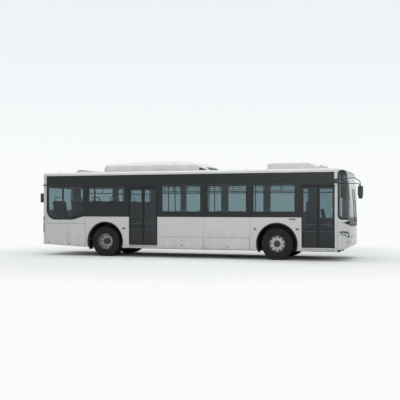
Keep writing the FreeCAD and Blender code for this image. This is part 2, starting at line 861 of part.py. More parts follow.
def rim_profile(dish, hub_face):
    """A rim's section: barrel, flanges, and a disc at a distance from the inner face, with its hub."""
    barrel = "(rim_radius - rim_wall)"
    width = "tyre_width"
    return [
        (barrel, "20"),
        ("rim_radius - 0.3", "20"),
        ("rim_radius - 0.3", width + " - 20"),
        (barrel, width + " - 20"),
        (barrel, "%s + 14" % dish),
        (barrel + " - 60", "%s + 10" % dish),
        ("170", hub_face),
        ("spindle_radius + seat_gap", hub_face),
        ("spindle_radius + seat_gap", "%s - 60" % hub_face),
        ("hub_radius", "%s - 60" % hub_face),
        ("hub_radius", "%s - 14" % hub_face),
        ("170", "%s - 14" % hub_face),
        (barrel + " - 60", "%s - 6" % dish),
        (barrel, "%s - 4" % dish),
    ]


def hand_holes(axle, inner_face):
    """Round ventilation holes through a wheel's disc."""
    holes = []
    for i in range(HAND_HOLE_COUNT):
        angle = 2 * math.pi * i / HAND_HOLE_COUNT
        holes.append(cylinder(
            "Y",
            "%s + hand_hole_circle * %r" % (axle, math.cos(angle)),
            inner_face + " - 50",
            "tyre_radius + hand_hole_circle * %r" % math.sin(angle),
            "hand_hole_radius",
            "tyre_width + 100",
        ))
    return holes


FRONT_INNER_FACE = "(tyre_outer_face - tyre_width)"
TWIN_INNER_FACE = "(tyre_outer_face - tyre_width * 2 - twin_gap)"


def wheel_at(axle, face, profile):
    """A profile turned about an axle, from a face of the left side."""
    return turned(profile, (axle, face, "tyre_radius"))


front_tyre = casing(FRONT_AXLE, FRONT_INNER_FACE)
front_disc = wheel_at(FRONT_AXLE, FRONT_INNER_FACE, rim_profile("200", "front_hub_face"))
FRONT_CAP_FACE = FRONT_INNER_FACE + " + front_hub_face - 1"
front_cap = cylinder("Y", FRONT_AXLE, FRONT_CAP_FACE, "tyre_radius", "hub_radius - 6", "36")
front_rim = fuse(cut(front_disc, *hand_holes(FRONT_AXLE, FRONT_INNER_FACE)), front_cap)
outer_tyre = casing(REAR_AXLE, FRONT_INNER_FACE)
inner_tyre = casing(REAR_AXLE, TWIN_INNER_FACE)
outer_disc = wheel_at(REAR_AXLE, FRONT_INNER_FACE, rim_profile("60", "rear_hub_face"))
inner_barrel = turned(
    [
        ("rim_radius - rim_wall", "20"),
        ("rim_radius - 0.3", "20"),
        ("rim_radius - 0.3", "tyre_width - 20"),
        ("rim_radius - rim_wall", "tyre_width - 20"),
    ],
    (REAR_AXLE, TWIN_INNER_FACE, "tyre_radius"),
)
spacer_band = turned(
    [
        ("rim_radius - rim_wall", "tyre_width - 20"),
        ("rim_radius - 6", "tyre_width - 20"),
        ("rim_radius - 6", "tyre_width + twin_gap + 20"),
        ("rim_radius - rim_wall", "tyre_width + twin_gap + 20"),
    ],
    (REAR_AXLE, TWIN_INNER_FACE, "tyre_radius"),
)
hub_cap = cylinder("Y", REAR_AXLE, FRONT_INNER_FACE + " + rear_hub_face - 1", "tyre_radius", "hub_radius", "90")
rear_disc = cut(outer_disc, *hand_holes(REAR_AXLE, FRONT_INNER_FACE))
rear_rim = fuse(rear_disc, hub_cap, inner_barrel, spacer_band)
node(front_tyre, "front_left_tyre")
node(mirror(front_tyre), "front_right_tyre")
node(front_rim, "front_left_rim")
node(mirror(front_rim), "front_right_rim")
rear_tyres = group(outer_tyre, inner_tyre)
node(rear_tyres, "rear_left_tyres")
node(mirror(rear_tyres), "rear_right_tyres")
node(rear_rim, "rear_left_rims")
node(mirror(rear_rim), "rear_right_rims")

# Front axle: a dropped beam with an eye for a kingpin at each end

EYE_LOW = "(tyre_radius - axle_eye_height / 2)"
EYE_HIGH = "(tyre_radius + axle_eye_height / 2)"
BEAM_X = ("%s - beam_half_width" % FRONT_AXLE, "%s + beam_half_width" % FRONT_AXLE)
beam_half = prism(
    "YZ_Plane",
    [
        ("-1", "beam_bottom"),
        ("housing_inner_face + 50", "beam_bottom"),
        ("kingpin_place - 130", EYE_LOW + " + 10"),
        ("kingpin_place", EYE_LOW + " + 10"),
        ("kingpin_place", EYE_HIGH + " - 10"),
        ("kingpin_place - 170", EYE_HIGH + " - 10"),
        ("housing_inner_face + arch_wall", "beam_top"),
        ("-1", "beam_top"),
    ],
    *BEAM_X,
)
eye = cylinder("Z", FRONT_AXLE, "kingpin_place", EYE_LOW, "axle_eye_radius", "axle_eye_height")
eye_bore = cylinder(
    "Z", FRONT_AXLE, "kingpin_place", EYE_LOW + " - 1", "kingpin_radius + seat_gap", "axle_eye_height + 2",
)
half_axle = cut(fuse(beam_half, eye), eye_bore)
pads = [
    box(BEAM_X, (low, high), ("beam_top", "beam_top + fork_gap"))
    for low, high in (("rail_place", "rail_place + rail_width"), ("-rail_place - rail_width", "-rail_place"))
]
node(fuse(half_axle, mirror(half_axle), *pads), "front_axle")

# Knuckles: a fork round the axle's eye, a kingpin, a spindle, and an arm straight back
FORK_X = ("%s - axle_eye_radius" % FRONT_AXLE, "%s + axle_eye_radius" % FRONT_AXLE)
LUG_LOW = "(%s - fork_gap - fork_lug)" % EYE_LOW
LUG_HIGH = "(%s + fork_gap + fork_lug)" % EYE_HIGH
FORK_BACK = "(kingpin_place + axle_eye_radius + 12)"
kingpin = cylinder("Z", FRONT_AXLE, "kingpin_place", LUG_LOW, "kingpin_radius", "%s - %s" % (LUG_HIGH, LUG_LOW))
fork_plate = box(FORK_X, (FORK_BACK, FORK_BACK + " + 26"), (LUG_LOW, LUG_HIGH))
lugs = [
    fuse(
        box(FORK_X, ("kingpin_place", FORK_BACK), (low, low + " + fork_lug")),
        cylinder("Z", FRONT_AXLE, "kingpin_place", low, "axle_eye_radius", "fork_lug"),
    )
    for low in (LUG_LOW, "(%s + fork_gap)" % EYE_HIGH)
]
spindle = cylinder(
    "Y",
    FRONT_AXLE,
    FORK_BACK,
    "tyre_radius",
    "spindle_radius",
    "%s + front_hub_face - 6 - %s" % (FRONT_INNER_FACE, FORK_BACK),
)
BALL_X = "(%s - arm_back)" % FRONT_AXLE
ARM_TOP = "(tie_rod_height + 50)"
arm = prism(
    "XZ_Plane",
    [
        (BALL_X + " - ball_eye_radius", "tie_rod_height + ball_eye_radius"),
        (BALL_X + " + ball_eye_radius", "tie_rod_height + ball_eye_radius"),
        ("%s - 10" % FRONT_AXLE, LUG_LOW),
        ("%s - 10" % FRONT_AXLE, LUG_LOW + " + fork_lug"),
        ("%s - 62" % FRONT_AXLE, LUG_LOW + " + fork_lug"),
        (BALL_X + " - ball_eye_radius", ARM_TOP),
    ],
    "kingpin_place - 16",
    "kingpin_place + 16",
)
BALL_LOW = "tie_rod_height - ball_eye_radius"
ball_pin = cylinder("Z", BALL_X, "kingpin_place", BALL_LOW, "ball_radius", "ball_eye_radius * 2 + 10")
knuckle = fuse(kingpin, fork_plate, *lugs, spindle, arm, ball_pin)
node(knuckle, "knuckle_left")
node(mirror(knuckle), "knuckle_right")
rod_eyes = [
    cylinder("Z", BALL_X, y, BALL_LOW + " + 2", "ball_eye_radius", "ball_eye_radius * 2 - 4")
    for y in ("kingpin_place", "-kingpin_place")
]
rod_bores = [
    cylinder("Z", BALL_X, y, "tie_rod_height - 60", "ball_radius + seat_gap", "120")
    for y in ("kingpin_place", "-kingpin_place")
]
rod_bar = pipe(
    [
        (BALL_X, "kingpin_place", "tie_rod_height"),
        (BALL_X, "kingpin_place - 100", "tie_rod_height"),
        (BALL_X, "kingpin_place - 190", "tie_rod_height - tie_rod_drop"),
        (BALL_X, "190 - kingpin_place", "tie_rod_height - tie_rod_drop"),
        (BALL_X, "100 - kingpin_place", "tie_rod_height"),
        (BALL_X, "-kingpin_place", "tie_rod_height"),
    ],
    "tie_rod_radius",
    "40",
)
node(cut(fuse(rod_bar, *rod_eyes), *rod_bores), "tie_rod")

# Rear axle: a tube with its differential, its hubs inside the twin rims, and four bellows
TUBE_END = "(%s + rear_hub_face - 66)" % FRONT_INNER_FACE
STUB_END = "(%s + rear_hub_face - 4)" % FRONT_INNER_FACE
axle_tube = cylinder("Y", REAR_AXLE, "-" + TUBE_END, "tyre_radius", "85", TUBE_END + " * 2")
stubs = cylinder("Y", REAR_AXLE, "-" + STUB_END, "tyre_radius", "spindle_radius", STUB_END + " * 2")
differential = doc.addObject("Part::Sphere", "Differential")
bind(differential, Radius="205")
put(differential, REAR_AXLE, "0", "tyre_radius")
propshaft = cylinder("X", REAR_AXLE + " - 900", "0", "tyre_radius", "50", "900")
rear_axle_parts = [axle_tube, stubs, differential, propshaft]
SPRING_PLACE = "(rail_place + rail_width / 2)"
for sign in ("", "-"):
    for place in ("-330", "330"):
        rear_axle_parts.append(cylinder(
            "Z",
            "(%s + %s)" % (REAR_AXLE, place),
            sign + SPRING_PLACE,
            "tyre_radius",
            "70",
            "rear_rail_bottom - tyre_radius",
        ))
    rear_axle_parts.append(box(
        (REAR_AXLE + " - 420", REAR_AXLE + " + 420"),
        ("%s%s - 45" % (sign, SPRING_PLACE), "%s%s + 45" % (sign, SPRING_PLACE)),
        ("tyre_radius - 60", "tyre_radius + 30"),
    ))
node(fuse(*rear_axle_parts), "rear_axle")


# Wheel housings: half barrels over each wheel, closed on the inner side

HOUSING_DEPTH = "(%s - housing_inner_face)" % INSIDE


def housing_blank(axle):
    """What the left housing of an axle fills, for cutting the floor."""
    return cylinder("Y", axle, "housing_inner_face", "tyre_radius", "arch_radius + arch_wall", HOUSING_DEPTH)


def housing(axle, bottom):
    """The left housing of an axle, open outwards and below."""
    hollow = cylinder("Y", axle, "housing_inner_face + arch_wall", "tyre_radius", "arch_radius", HOUSING_DEPTH)
    below = box((axle + " - 700", axle + " + 700"), ("housing_inner_face - 10", SIDE), ("-200", bottom))
    return cut(housing_blank(axle), hollow, below)


front_housing = housing(FRONT_AXLE, FLOOR_UNDER)
rear_housing = housing(REAR_AXLE, "rear_rail_bottom")
housings = [front_housing, rear_housing]
node(group(*housings, *[mirror(shell) for shell in housings]), "wheel_housings")

# Floors: boards laid edge to edge, low from the riser to the nose, and raised behind it, with two steps up
blanks = [housing_blank(axle) for axle in (FRONT_AXLE, REAR_AXLE)]
blanks += [mirror(blank) for blank in blanks]
FULL_WIDTH = ("-" + INSIDE, INSIDE)
BETWEEN_HOUSINGS = ("-housing_inner_face + seat_gap", "housing_inner_face - seat_gap")
LOW_BOARD = (FLOOR_UNDER, "floor_height")
DECK_BOARD = (DECK_UNDER, "deck_height")
STAIR_BACK = "(%s - step_depth * 2)" % DECK_FRONT
STEP_TOPS = ["floor_height + (deck_height - floor_height) / 3 * %d" % rise for rise in (1, 2)]
HOUSING_BACK = "(%s - arch_radius + 20)" % FRONT_AXLE
HOUSING_FRONT = "(%s + arch_radius - 20)" % FRONT_AXLE
DECK_NOTCH_BACK = "(%s - arch_radius + 95)" % REAR_AXLE
DECK_NOTCH_FRONT = "(%s + arch_radius - 95)" % REAR_AXLE


def both_sides(low, high, x, z):
    """A board on each side of the bus, between two distances from its middle."""
    left = cut(box(x, (low, high), z), *blanks)
    return [left, mirror(left)]


boards = [
    cut(box((DECK_FRONT, HOUSING_BACK), FULL_WIDTH, LOW_BOARD), *blanks),
    box((HOUSING_BACK + " + seat_gap", HOUSING_FRONT + " - seat_gap"), BETWEEN_HOUSINGS, LOW_BOARD),
    cut(box((HOUSING_FRONT, FRONT_SEAM), FULL_WIDTH, LOW_BOARD), *blanks),
    box((FRONT_SEAM + " + seat_gap", NOSE + " - 340"), ("-%s + 40" % INSIDE, "%s - 40" % INSIDE), LOW_BOARD),
    cut(box((REAR_SEAM, DECK_NOTCH_BACK), FULL_WIDTH, DECK_BOARD), *blanks),
    box((DECK_NOTCH_BACK + " + seat_gap", STAIR_BACK), BETWEEN_HOUSINGS, DECK_BOARD),
    *both_sides(
        "stair_half_width", "housing_inner_face - seat_gap",
        (STAIR_BACK + " + seat_gap", DECK_NOTCH_FRONT + " - seat_gap"), DECK_BOARD,
    ),
    *both_sides("stair_half_width", INSIDE, (DECK_NOTCH_FRONT, DECK_FRONT + " + floor_thickness"), DECK_BOARD),
    *both_sides(
        "stair_half_width", INSIDE,
        (DECK_FRONT + " + seat_gap", DECK_FRONT + " + floor_thickness"),
        ("floor_height + seat_gap", DECK_UNDER),
    ),
    *both_sides(
        "stair_half_width + seat_gap", "stair_half_width + 15",
        (STAIR_BACK, DECK_FRONT + " - seat_gap"), (FLOOR_UNDER, DECK_UNDER),
    ),
    box(
        (STAIR_BACK + " - floor_thickness", STAIR_BACK + " - seat_gap"),
        ("-stair_half_width", "stair_half_width"),
        (STEP_TOPS[1] + " - floor_thickness", DECK_UNDER + " - seat_gap"),
    ),
]
for rise in (1, 2):
    step_front = "%s - step_depth * %d" % (DECK_FRONT, 2 - rise)
    step_back = "%s - step_depth * %d" % (DECK_FRONT, 3 - rise)
    boards.append(box(
        (step_back, step_front + " - seat_gap"),
        ("-stair_half_width", "stair_half_width"),
        (FLOOR_UNDER, STEP_TOPS[2 - rise]),
    ))
node(group(*boards), "floor_deck")

# Underframe: two rails low down, two higher over the rear axle and engine, and cross members.
# Each bar is a solid of its own that butts against the next.
RAILS = ("rail_place", "rail_place + rail_width")
LOW_RAIL = ("%s - rail_depth" % FLOOR_UNDER, FLOOR_UNDER)
HIGH_RAIL = ("rear_rail_bottom", "rear_rail_top")
GUSSET = (DECK_FRONT + " - 120", DECK_FRONT)
BRIDGE = (BEAM_X[0] + " - 60", BEAM_X[1] + " + 60")
frame_parts = []
for x, z in (
    ((GUSSET[1] + " + seat_gap", BRIDGE[0] + " - seat_gap"), LOW_RAIL),
    (BRIDGE, ("beam_top + fork_gap", FLOOR_UNDER)),
    ((BRIDGE[1] + " + seat_gap", FRONT_SEAM + " - 20"), LOW_RAIL),
    (GUSSET, (LOW_RAIL[0], "rear_rail_top")),
    ((REAR_SEAM + " + 20", GUSSET[0] + " - seat_gap"), HIGH_RAIL),
):
    rail = box(x, RAILS, z)
    frame_parts += [rail, mirror(rail)]
LOW_CROSS = (FLOOR_UNDER + " - 40", FLOOR_UNDER)
HIGH_CROSS = ("rear_rail_top + seat_gap", DECK_UNDER)
CROSS_BAY = "(%s - 1000 - (%s + 2000))" % (FRONT_AXLE, REAR_AXLE)
WIDE_CROSSES = (
    REAR_AXLE + " + 854",
    REAR_AXLE + " + 2000",
    "%s + 2000 + %s / 3" % (REAR_AXLE, CROSS_BAY),
    "%s + 2000 + %s / 3 * 2" % (REAR_AXLE, CROSS_BAY),
    FRONT_AXLE + " - 1000",
    FRONT_AXLE + " + 790",
    FRONT_AXLE + " + 1850",
)
SHORT_CROSSES = (FRONT_AXLE + " - 450", FRONT_AXLE + " + 400")


def bar_across(place, low, high, z):
    """A cross member over a place along the bus, between two places across it."""
    return box(("%s - cross_width / 2" % place, "%s + cross_width / 2" % place), (low, high), z)


for place in WIDE_CROSSES + SHORT_CROSSES:
    frame_parts.append(bar_across(place, "-rail_place + seat_gap", "rail_place - seat_gap", LOW_CROSS))
for place in WIDE_CROSSES:
    outrigger = bar_across(place, "rail_place + rail_width + seat_gap", INSIDE, LOW_CROSS)
    frame_parts += [outrigger, mirror(outrigger)]
for place in ("-1450", "-850"):
    frame_parts.append(bar_across("%s + (%s)" % (REAR_AXLE, place), *FULL_WIDTH, HIGH_CROSS))
frame_parts.append(bar_across(REAR_AXLE + " + 150", "-housing_inner_face", "housing_inner_face", HIGH_CROSS))
stair_bar = bar_across(REAR_AXLE + " + 650", "stair_half_width + 20", "housing_inner_face", HIGH_CROSS)
frame_parts += [stair_bar, mirror(stair_bar)]
# A towing lug under the nose, bored for a pin, on the foremost cross member
TOW_X = "(%s - tow_pin_back)" % NOSE
TOW_LOW = "(%s - 65)" % FLOOR_UNDER
TOW_THICKNESS = "45"
lug_start = "%s + cross_width / 2 + seat_gap" % WIDE_CROSSES[-1]
tow_lug = fuse(
    box((lug_start, TOW_X), ("-lug_radius", "lug_radius"), (TOW_LOW, "%s + %s" % (TOW_LOW, TOW_THICKNESS))),
    cylinder("Z", TOW_X, "0", TOW_LOW, "lug_radius", TOW_THICKNESS),
)
tow_bore = cylinder("Z", TOW_X, "0", TOW_LOW + " - 10", "tow_pin_radius", TOW_THICKNESS + " + 20")
node(group(*frame_parts, cut(tow_lug, tow_bore)), "underframe")

# Engine: one block between the rear rails, behind the axle
ENGINE_BACK = REAR_SEAM + " + 20"
engine = box((ENGINE_BACK, REAR_AXLE + " - 900"), ("-rail_place", "rail_place"), ("400", "rear_rail_top - 30"))
sump = box((ENGINE_BACK, REAR_AXLE + " - 1300"), ("-300", "300"), ("360", "400"))
node(fuse(engine, sump), "engine_block")


# Doors: each leaf glides inwards on a pair of arms, one under it and one over it.
# The arm's pin is half-way along the leaf, as far from its leading edge as from the arm's own pivot,
# so the leading edge runs straight along the doorway while the rest swings in.
LEAF_WIDTH = "(door_width / 2 - leaf_edge_gap / 2 - leaf_edge_gap)"
ARM = "((door_width / 2 - leaf_edge_gap / 2 - crank_pivot_along) / 2)"
PIVOT_Y = "(%s - crank_pivot_in)" % SIDE
LEAF_Y = (
    "%s - leaf_thickness / 2" % PIVOT_Y,
    "%s + leaf_thickness / 2" % PIVOT_Y,
)
LOW_ARM = ("floor_height + crank_thickness", "floor_height + crank_thickness * 2")
HIGH_ARM = ("leaf_top + 20", "leaf_top + 20 + crank_thickness")


def door_crank(pivot_x, toward):
    """A leaf's two arms on the left side: toward is 1 where the leaf lies ahead of its pivot."""
    pin_x = "(%s + %d * %s)" % (pivot_x, toward, ARM)
    low_x, high_x = (pivot_x, pin_x) if toward > 0 else (pin_x, pivot_x)
    half = "crank_width / 2"
    across = ("%s - %s" % (PIVOT_Y, half), "%s + %s" % (PIVOT_Y, half))
    arms = []
    for arm_low, arm_high in (LOW_ARM, HIGH_ARM):
        thick = "(%s) - (%s)" % (arm_high, arm_low)
        arms.append([
            box((low_x, high_x), across, (arm_low, arm_high)),
            cylinder("Z", pivot_x, PIVOT_Y, arm_low, half, thick),
            cylinder("Z", pin_x, PIVOT_Y, arm_low, half, thick),
        ])
    low_stub = cylinder("Z", pivot_x, PIVOT_Y, "floor_height + seat_gap", half, "crank_thickness")
    pin_length = "leaf_bottom + 20 - (%s)" % LOW_ARM[1]
    low_pin = cylinder("Z", pin_x, PIVOT_Y, LOW_ARM[1], "crank_pin_radius", pin_length)
    high_stub = cylinder("Z", pivot_x, PIVOT_Y, HIGH_ARM[1], half, "door_head - seat_gap - (%s)" % HIGH_ARM[1])
    high_pin = cylinder("Z", pin_x, PIVOT_Y, "leaf_top - 20", "crank_pin_radius", "40")
    return group(fuse(*arms[0], low_stub, low_pin), fuse(*arms[1], high_stub, high_pin))


def door_leaf(start, pin_x):
    """A leaf of the left side: its frame, with a rebate for the glass and a bore at each end of its pin."""
    end = "(%s + %s)" % (start, LEAF_WIDTH)
    blank = box((start, end), LEAF_Y, ("leaf_bottom", "leaf_top"))
    bores = [
        cylinder("Z", pin_x, PIVOT_Y, base, "crank_pin_radius + seat_gap", "22")
        for base in ("leaf_bottom - 1", "leaf_top - 21")
    ]
    rebate = leaf_pane_block(start, "pane_gap", "10")
    through = leaf_pane_block(start, "-leaf_frame / 2", "leaf_thickness + 10")
    return cut(blank, rebate, through, *bores)


def leaf_pane_block(start, grow, deep):
    """A block over a leaf's glass, grown at its edges and reaching inwards from the outer face."""
    frame = "(leaf_frame / 2 - (%s))" % grow
    end = "(%s + %s)" % (start, LEAF_WIDTH)
    back = LEAF_Y[1] + (" - glass - seat_gap" if deep == "10" else " - (%s)" % deep)
    face = LEAF_Y[1] + (" + 10" if deep != "glass" else "")
    return box(
        ("%s + %s" % (start, frame), "%s - %s" % (end, frame)),
        (back if deep != "glass" else LEAF_Y[1] + " - glass", face),
        ("leaf_bottom + %s" % frame, "leaf_top - %s" % frame),
    )


for door, door_start in (("front_door", FRONT_DOOR), ("mid_door", MID_DOOR)):
    leaves = {
        "rear_leaf": ("(%s + leaf_edge_gap)" % door_start, "(%s + crank_pivot_along)" % door_start, 1),
        "front_leaf": (
            "(%s + door_width - leaf_edge_gap - %s)" % (door_start, LEAF_WIDTH),
            "(%s + door_width - crank_pivot_along)" % door_start,
            -1,
        ),
    }
    for leaf_name, (leaf_start, pivot, toward) in leaves.items():
        pin = "(%s + %d * %s)" % (pivot, toward, ARM)
        label = "%s_%s" % (door, leaf_name)
        node(mirror(door_crank(pivot, toward)), label + "_arms")
        node(mirror(door_leaf(leaf_start, pin)), label)
        node(mirror(leaf_pane_block(leaf_start, "0", "glass")), label + "_glass")


# Mirrors: bent tubes from a block on the front pillar, with two heads on the right and one on the left

def rounded(shape, corner):
    """A shape with all its edges rounded."""
    doc.recompute()
    softened = doc.addObject("Part::Fillet", "Rounded")
    softened.Base = shape
    softened.Edges = [(index, corner, corner) for index in range(1, len(shape.Shape.Edges) + 1)]
    return softened


def rounded_block(x, y, z, corner):
    """A block with all edges rounded."""
    return rounded(box(x, y, z), corner)


MIRROR_TIP = "(%s + mirror_reach)" % NOSE
HEAD_Y = "(%s + mirror_outreach - 120)" % SIDE
HEAD_SPAN = ("%s - 120" % HEAD_Y, "%s + 120" % HEAD_Y)
ARM_Y = "(%s + 22)" % SIDE
PILLAR = "(%s - 50)" % FRONT_SEAM
mount_block = rounded_block(
    (PILLAR + " - 58", PILLAR + " + 42"), (SIDE, SIDE + " + 42"), ("2470", "2610"), 12,
)
upper_arm = pipe(
    [
        (PILLAR, ARM_Y, "2590"),
        (PILLAR + " + 250", "%s + 40" % ARM_Y, "2610"),
        (MIRROR_TIP + " - 260", HEAD_Y, "2640"),
        (MIRROR_TIP + " - 85", HEAD_Y, "2520"),
        (MIRROR_TIP + " - 75", HEAD_Y, "2350"),
    ],
    "13",
    "60",
)
lower_arm = pipe(
    [
        (PILLAR, ARM_Y, "2492"),
        (PILLAR + " + 180", "%s + 8" % HEAD_Y, "2468"),
        (MIRROR_TIP + " - 120", "%s + 8" % HEAD_Y, "2455"),
        (MIRROR_TIP + " - 80", HEAD_Y, "2350"),
    ],
    "12",
    "40",
)
head_outline = [
    (MIRROR_TIP + " - 118", "1980"),
    (MIRROR_TIP + " - 22", "1980"),
    (MIRROR_TIP, "2120"),
    (MIRROR_TIP, "2380"),
    (MIRROR_TIP + " - 150", "2380"),
    (MIRROR_TIP + " - 150", "2120"),
]
main_head = rounded(prism("XZ_Plane", head_outline, *HEAD_SPAN), 34)
second_head = rounded_block(
    (PILLAR + " + 157", PILLAR + " + 292"), (SIDE + " + 8", SIDE + " + mirror_outreach"), ("2010", "2416"), 40,
)
hanger = cylinder("Z", PILLAR + " + 225", "%s + 8" % HEAD_Y, "2380", "11", "80")
right_mirror = mirror(fuse(mount_block, upper_arm, lower_arm, main_head, second_head, hanger))
left_block = rounded_block((PILLAR + " - 30", PILLAR + " + 30"), (SIDE, SIDE + " + 40"), ("2440", "2560"), 12)
left_arm = pipe(
    [(PILLAR, SIDE + " + 20", "2500"), (PILLAR + " + 10", HEAD_Y, "2500"), (PILLAR + " + 10", HEAD_Y, "2380")],
    "13",
    "30",
)
left_head = rounded_block(
    (PILLAR + " - 60", PILLAR + " + 70"), (SIDE + " + 8", SIDE + " + mirror_outreach"), ("2010", "2420"), 40,
)
node(group(right_mirror, fuse(left_block, left_arm, left_head)), "mirrors")

# Cowl: a plate over the wiper gear, below the windscreen, with pointed ends
WIPER_PLACE = 250
WIPER_HEIGHT = 1270
STUB_RADIUS = 22
COWL_LOW, COWL_POINT, COWL_HIGH = 1140, 1275, 1322
cowl_face = flat(
    "YZ",
    (-860, COWL_LOW),
    (860, COWL_LOW),
    (1010, COWL_POINT),
    (860, COWL_HIGH),
    (-860, COWL_HIGH),
    (-1010, COWL_POINT),
    (-860, COWL_LOW),
)
cowl_zone = drawn(cowl_face, "X", NOSE + " - 300", NOSE + " + 50")
cowl_clear = common(envelope("-cowl_thickness - seat_gap"), cowl_zone)


def stub(place, side, radius, length):
    """A round bar through the cowl where a wiper turns."""
    return cylinder("X", place, str(side * WIPER_PLACE), str(WIPER_HEIGHT), str(radius), length)


stub_holes = [stub(NOSE + " - 100", side, STUB_RADIUS + 2, "200") for side in (1, -1)]
node(cut(common(cut(envelope("-cowl_thickness"), skin), cowl_zone), *stub_holes), "wiper_cowl")


# Wipers: two arms from the cowl, parked almost upright, each with a blade along the glass
def wiper(side):
    """An arm and its blade, lying just off the windscreen, leaning towards the middle."""
    points = []
    for rise in (0, 350, 700, 1050):
        height = WIPER_HEIGHT + rise
        back = 118 * ((height - 1000) / 1715) ** 1.15 - 18
        points.append((NOSE + " - %r" % back, str(side * (WIPER_PLACE - 0.02 * rise)), str(height)))
    arm_bar = pipe(points[:3], "9", "150")
    blade = pipe([(x + " - 4", across, up) for x, across, up in points[1:]], "7", "400")
    return cut(fuse(cut(fuse(arm_bar, blade), cowl_clear), stub(NOSE + " - 60", side, STUB_RADIUS, "79")), skin)


node(group(wiper(1), wiper(-1)), "wipers")


# Inside: the driver's cab, the dashboard and the steering wheel
inside_form = envelope("wall + seat_gap", open_below=True)
CAB_BACK = "(%s + 700)" % FRONT_AXLE
CAB_INNER = "(driver_place - 300)"
DRIVER_FLOOR = "(floor_height + driver_floor_rise)"
CAB_SPAN = (CAB_INNER + " + seat_gap", INSIDE)
platform = box((CAB_BACK + " + seat_gap", FRONT_SEAM), CAB_SPAN, ("floor_height", DRIVER_FLOOR))
partition = box((CAB_BACK + " - partition_wall", CAB_BACK), CAB_SPAN, ("floor_height", "partition_top"))
cab_side = box(
    (CAB_BACK + " - partition_wall", CAB_BACK + " + 620"),
    (CAB_INNER + " - partition_wall", CAB_INNER),
    ("floor_height", "1350"),
)
node(group(platform, partition, cab_side), "driver_cab")

DASH_LIP = "(%s - 520)" % NOSE
dash_outline = [
    (DASH_LIP + " + 80", "floor_height"),
    (NOSE, "floor_height"),
    (NOSE, "1250"),
    (DASH_LIP + " + 230", "1250"),
    (DASH_LIP + " + 60", "1150"),
    (DASH_LIP, "1010"),
    (DASH_LIP + " + 40", "960"),
    (DASH_LIP + " + 110", "900"),
]
dash_blank = prism("XZ_Plane", dash_outline, "-720", "1150")
dash_floor_clear = box((FRONT_SEAM + " - 700", FRONT_SEAM), ("-800", SIDE), ("0", DRIVER_FLOOR))
wheel_x = "(%s - wheel_place)" % NOSE
column_turn = FreeCAD.Rotation(FreeCAD.Vector(0, 1, 0), -value("wheel_rake"))
column_length = 560
rake = math.radians(value("wheel_rake"))
column = doc.addObject("Part::Cylinder", "Column")
bind(column, Radius="45", Height=str(column_length))
put(
    column,
    "%s + %r" % (wheel_x, (column_length + 40.3) * math.sin(rake)),
    "driver_place",
    "wheel_height - %r" % ((column_length + 40.3) * math.cos(rake)),
    column_turn,
)
node(fuse(cut(common(dash_blank, inside_form), dash_floor_clear), column), "dashboard")

ring = doc.addObject("Part::Torus", "Ring")
bind(ring, Radius1="wheel_ring_radius", Radius2="wheel_ring_thickness")
hub = doc.addObject("Part::Cylinder", "Hub")
bind(hub, Radius="62", Height="52")
hub.Placement.Base = FreeCAD.Vector(0, 0, -40)
spokes = []
for angle in (90, 210, 330):
    spoke = doc.addObject("Part::Box", "Spoke")
    bind(spoke, Length="wheel_ring_radius", Width="44", Height="12")
    lean = math.radians(angle)
    corner = FreeCAD.Vector(22 * math.sin(lean), -22 * math.cos(lean), -6)
    spoke.Placement = FreeCAD.Placement(corner, FreeCAD.Rotation(FreeCAD.Vector(0, 0, 1), angle))
    spokes.append(spoke)
steering_wheel = fuse(ring, hub, *spokes)
put(steering_wheel, wheel_x, "driver_place", "wheel_height", column_turn)
node(steering_wheel, "steering_wheel")


# Seats: a cushion shell and a back shell each, two on a frame with one pedestal

def under_cushion(place, depth):
    """The height, over a seat's base, at which a frame meets the sloping cushion from below."""
    return "(seat_height - 60 + 30 * %s / (%s) - seat_gap)" % (place, depth)


def seat(back_x, base, depth, low, high):
    """A seat between two places across the bus: its cushion, and its back with rounded upper corners."""
    top = "(%s + seat_height)" % base
    cushion = prism(
        "XZ_Plane",
        [
            (back_x, top + " - 60"),
            ("%s + %s" % (back_x, depth), top + " - 30"),
            ("%s + %s + 12" % (back_x, depth), top),
            ("%s + %s - 20" % (back_x, depth), top + " + 12"),
            (back_x + " + 70", top + " - 10"),
            (back_x + " - 5", top + " - 17"),
        ],
        low,
        high,
    )
    slab = prism(
        "XZ_Plane",
        [
            (back_x + " + 70", top + " - 10 + seat_gap"),
            (back_x + " - 45", top + " + seat_back_height - 20"),
            (back_x + " - 70", top + " + seat_back_height"),
            (back_x + " - 98", top + " + seat_back_height - 24"),
            (back_x + " - 22", top + " + 20"),
            (back_x + " - 5", top + " - 17 + seat_gap"),
        ],
        low,
        high,
    )
    bottom, peak, corner = value(top) - 50, value(top + " + seat_back_height"), value("seat_corner")
    left, right = value(low), value(high)
    bow = corner * (1 - math.sqrt(0.5))
    front = flat(
        "YZ",
        (left, bottom),
        (right, bottom),
        (right, peak - corner),
        ((right - bow, peak - bow), (right - corner, peak)),
        (left + corner, peak),
        ((left + bow, peak - bow), (left, peak - corner)),
        (left, bottom),
    )
    return [cushion, common(slab, drawn(front, "X", back_x + " - 200", back_x + " + 200"))]


BENCH_LOW = "(%s - bench_outer_gap - seat_width * 2 - 20)" % INSIDE
SECOND_LOW = "(%s + seat_width + 20)" % BENCH_LOW
FRAME_SPAN = (BENCH_LOW + " + 60", "%s + seat_width - 60" % SECOND_LOW)
bench = group(
    *seat("0", "0", "seat_depth", BENCH_LOW, "%s + seat_width" % BENCH_LOW),
    *seat("0", "0", "seat_depth", SECOND_LOW, "%s + seat_width" % SECOND_LOW),
    box(("90", "330"), FRAME_SPAN, ("seat_height - 80", under_cushion("90", "seat_depth"))),
    box(("140", "280"), (BENCH_LOW + " + 130", BENCH_LOW + " + 210"), ("0", "seat_height - 80 - seat_gap")),
)
doc.recompute()


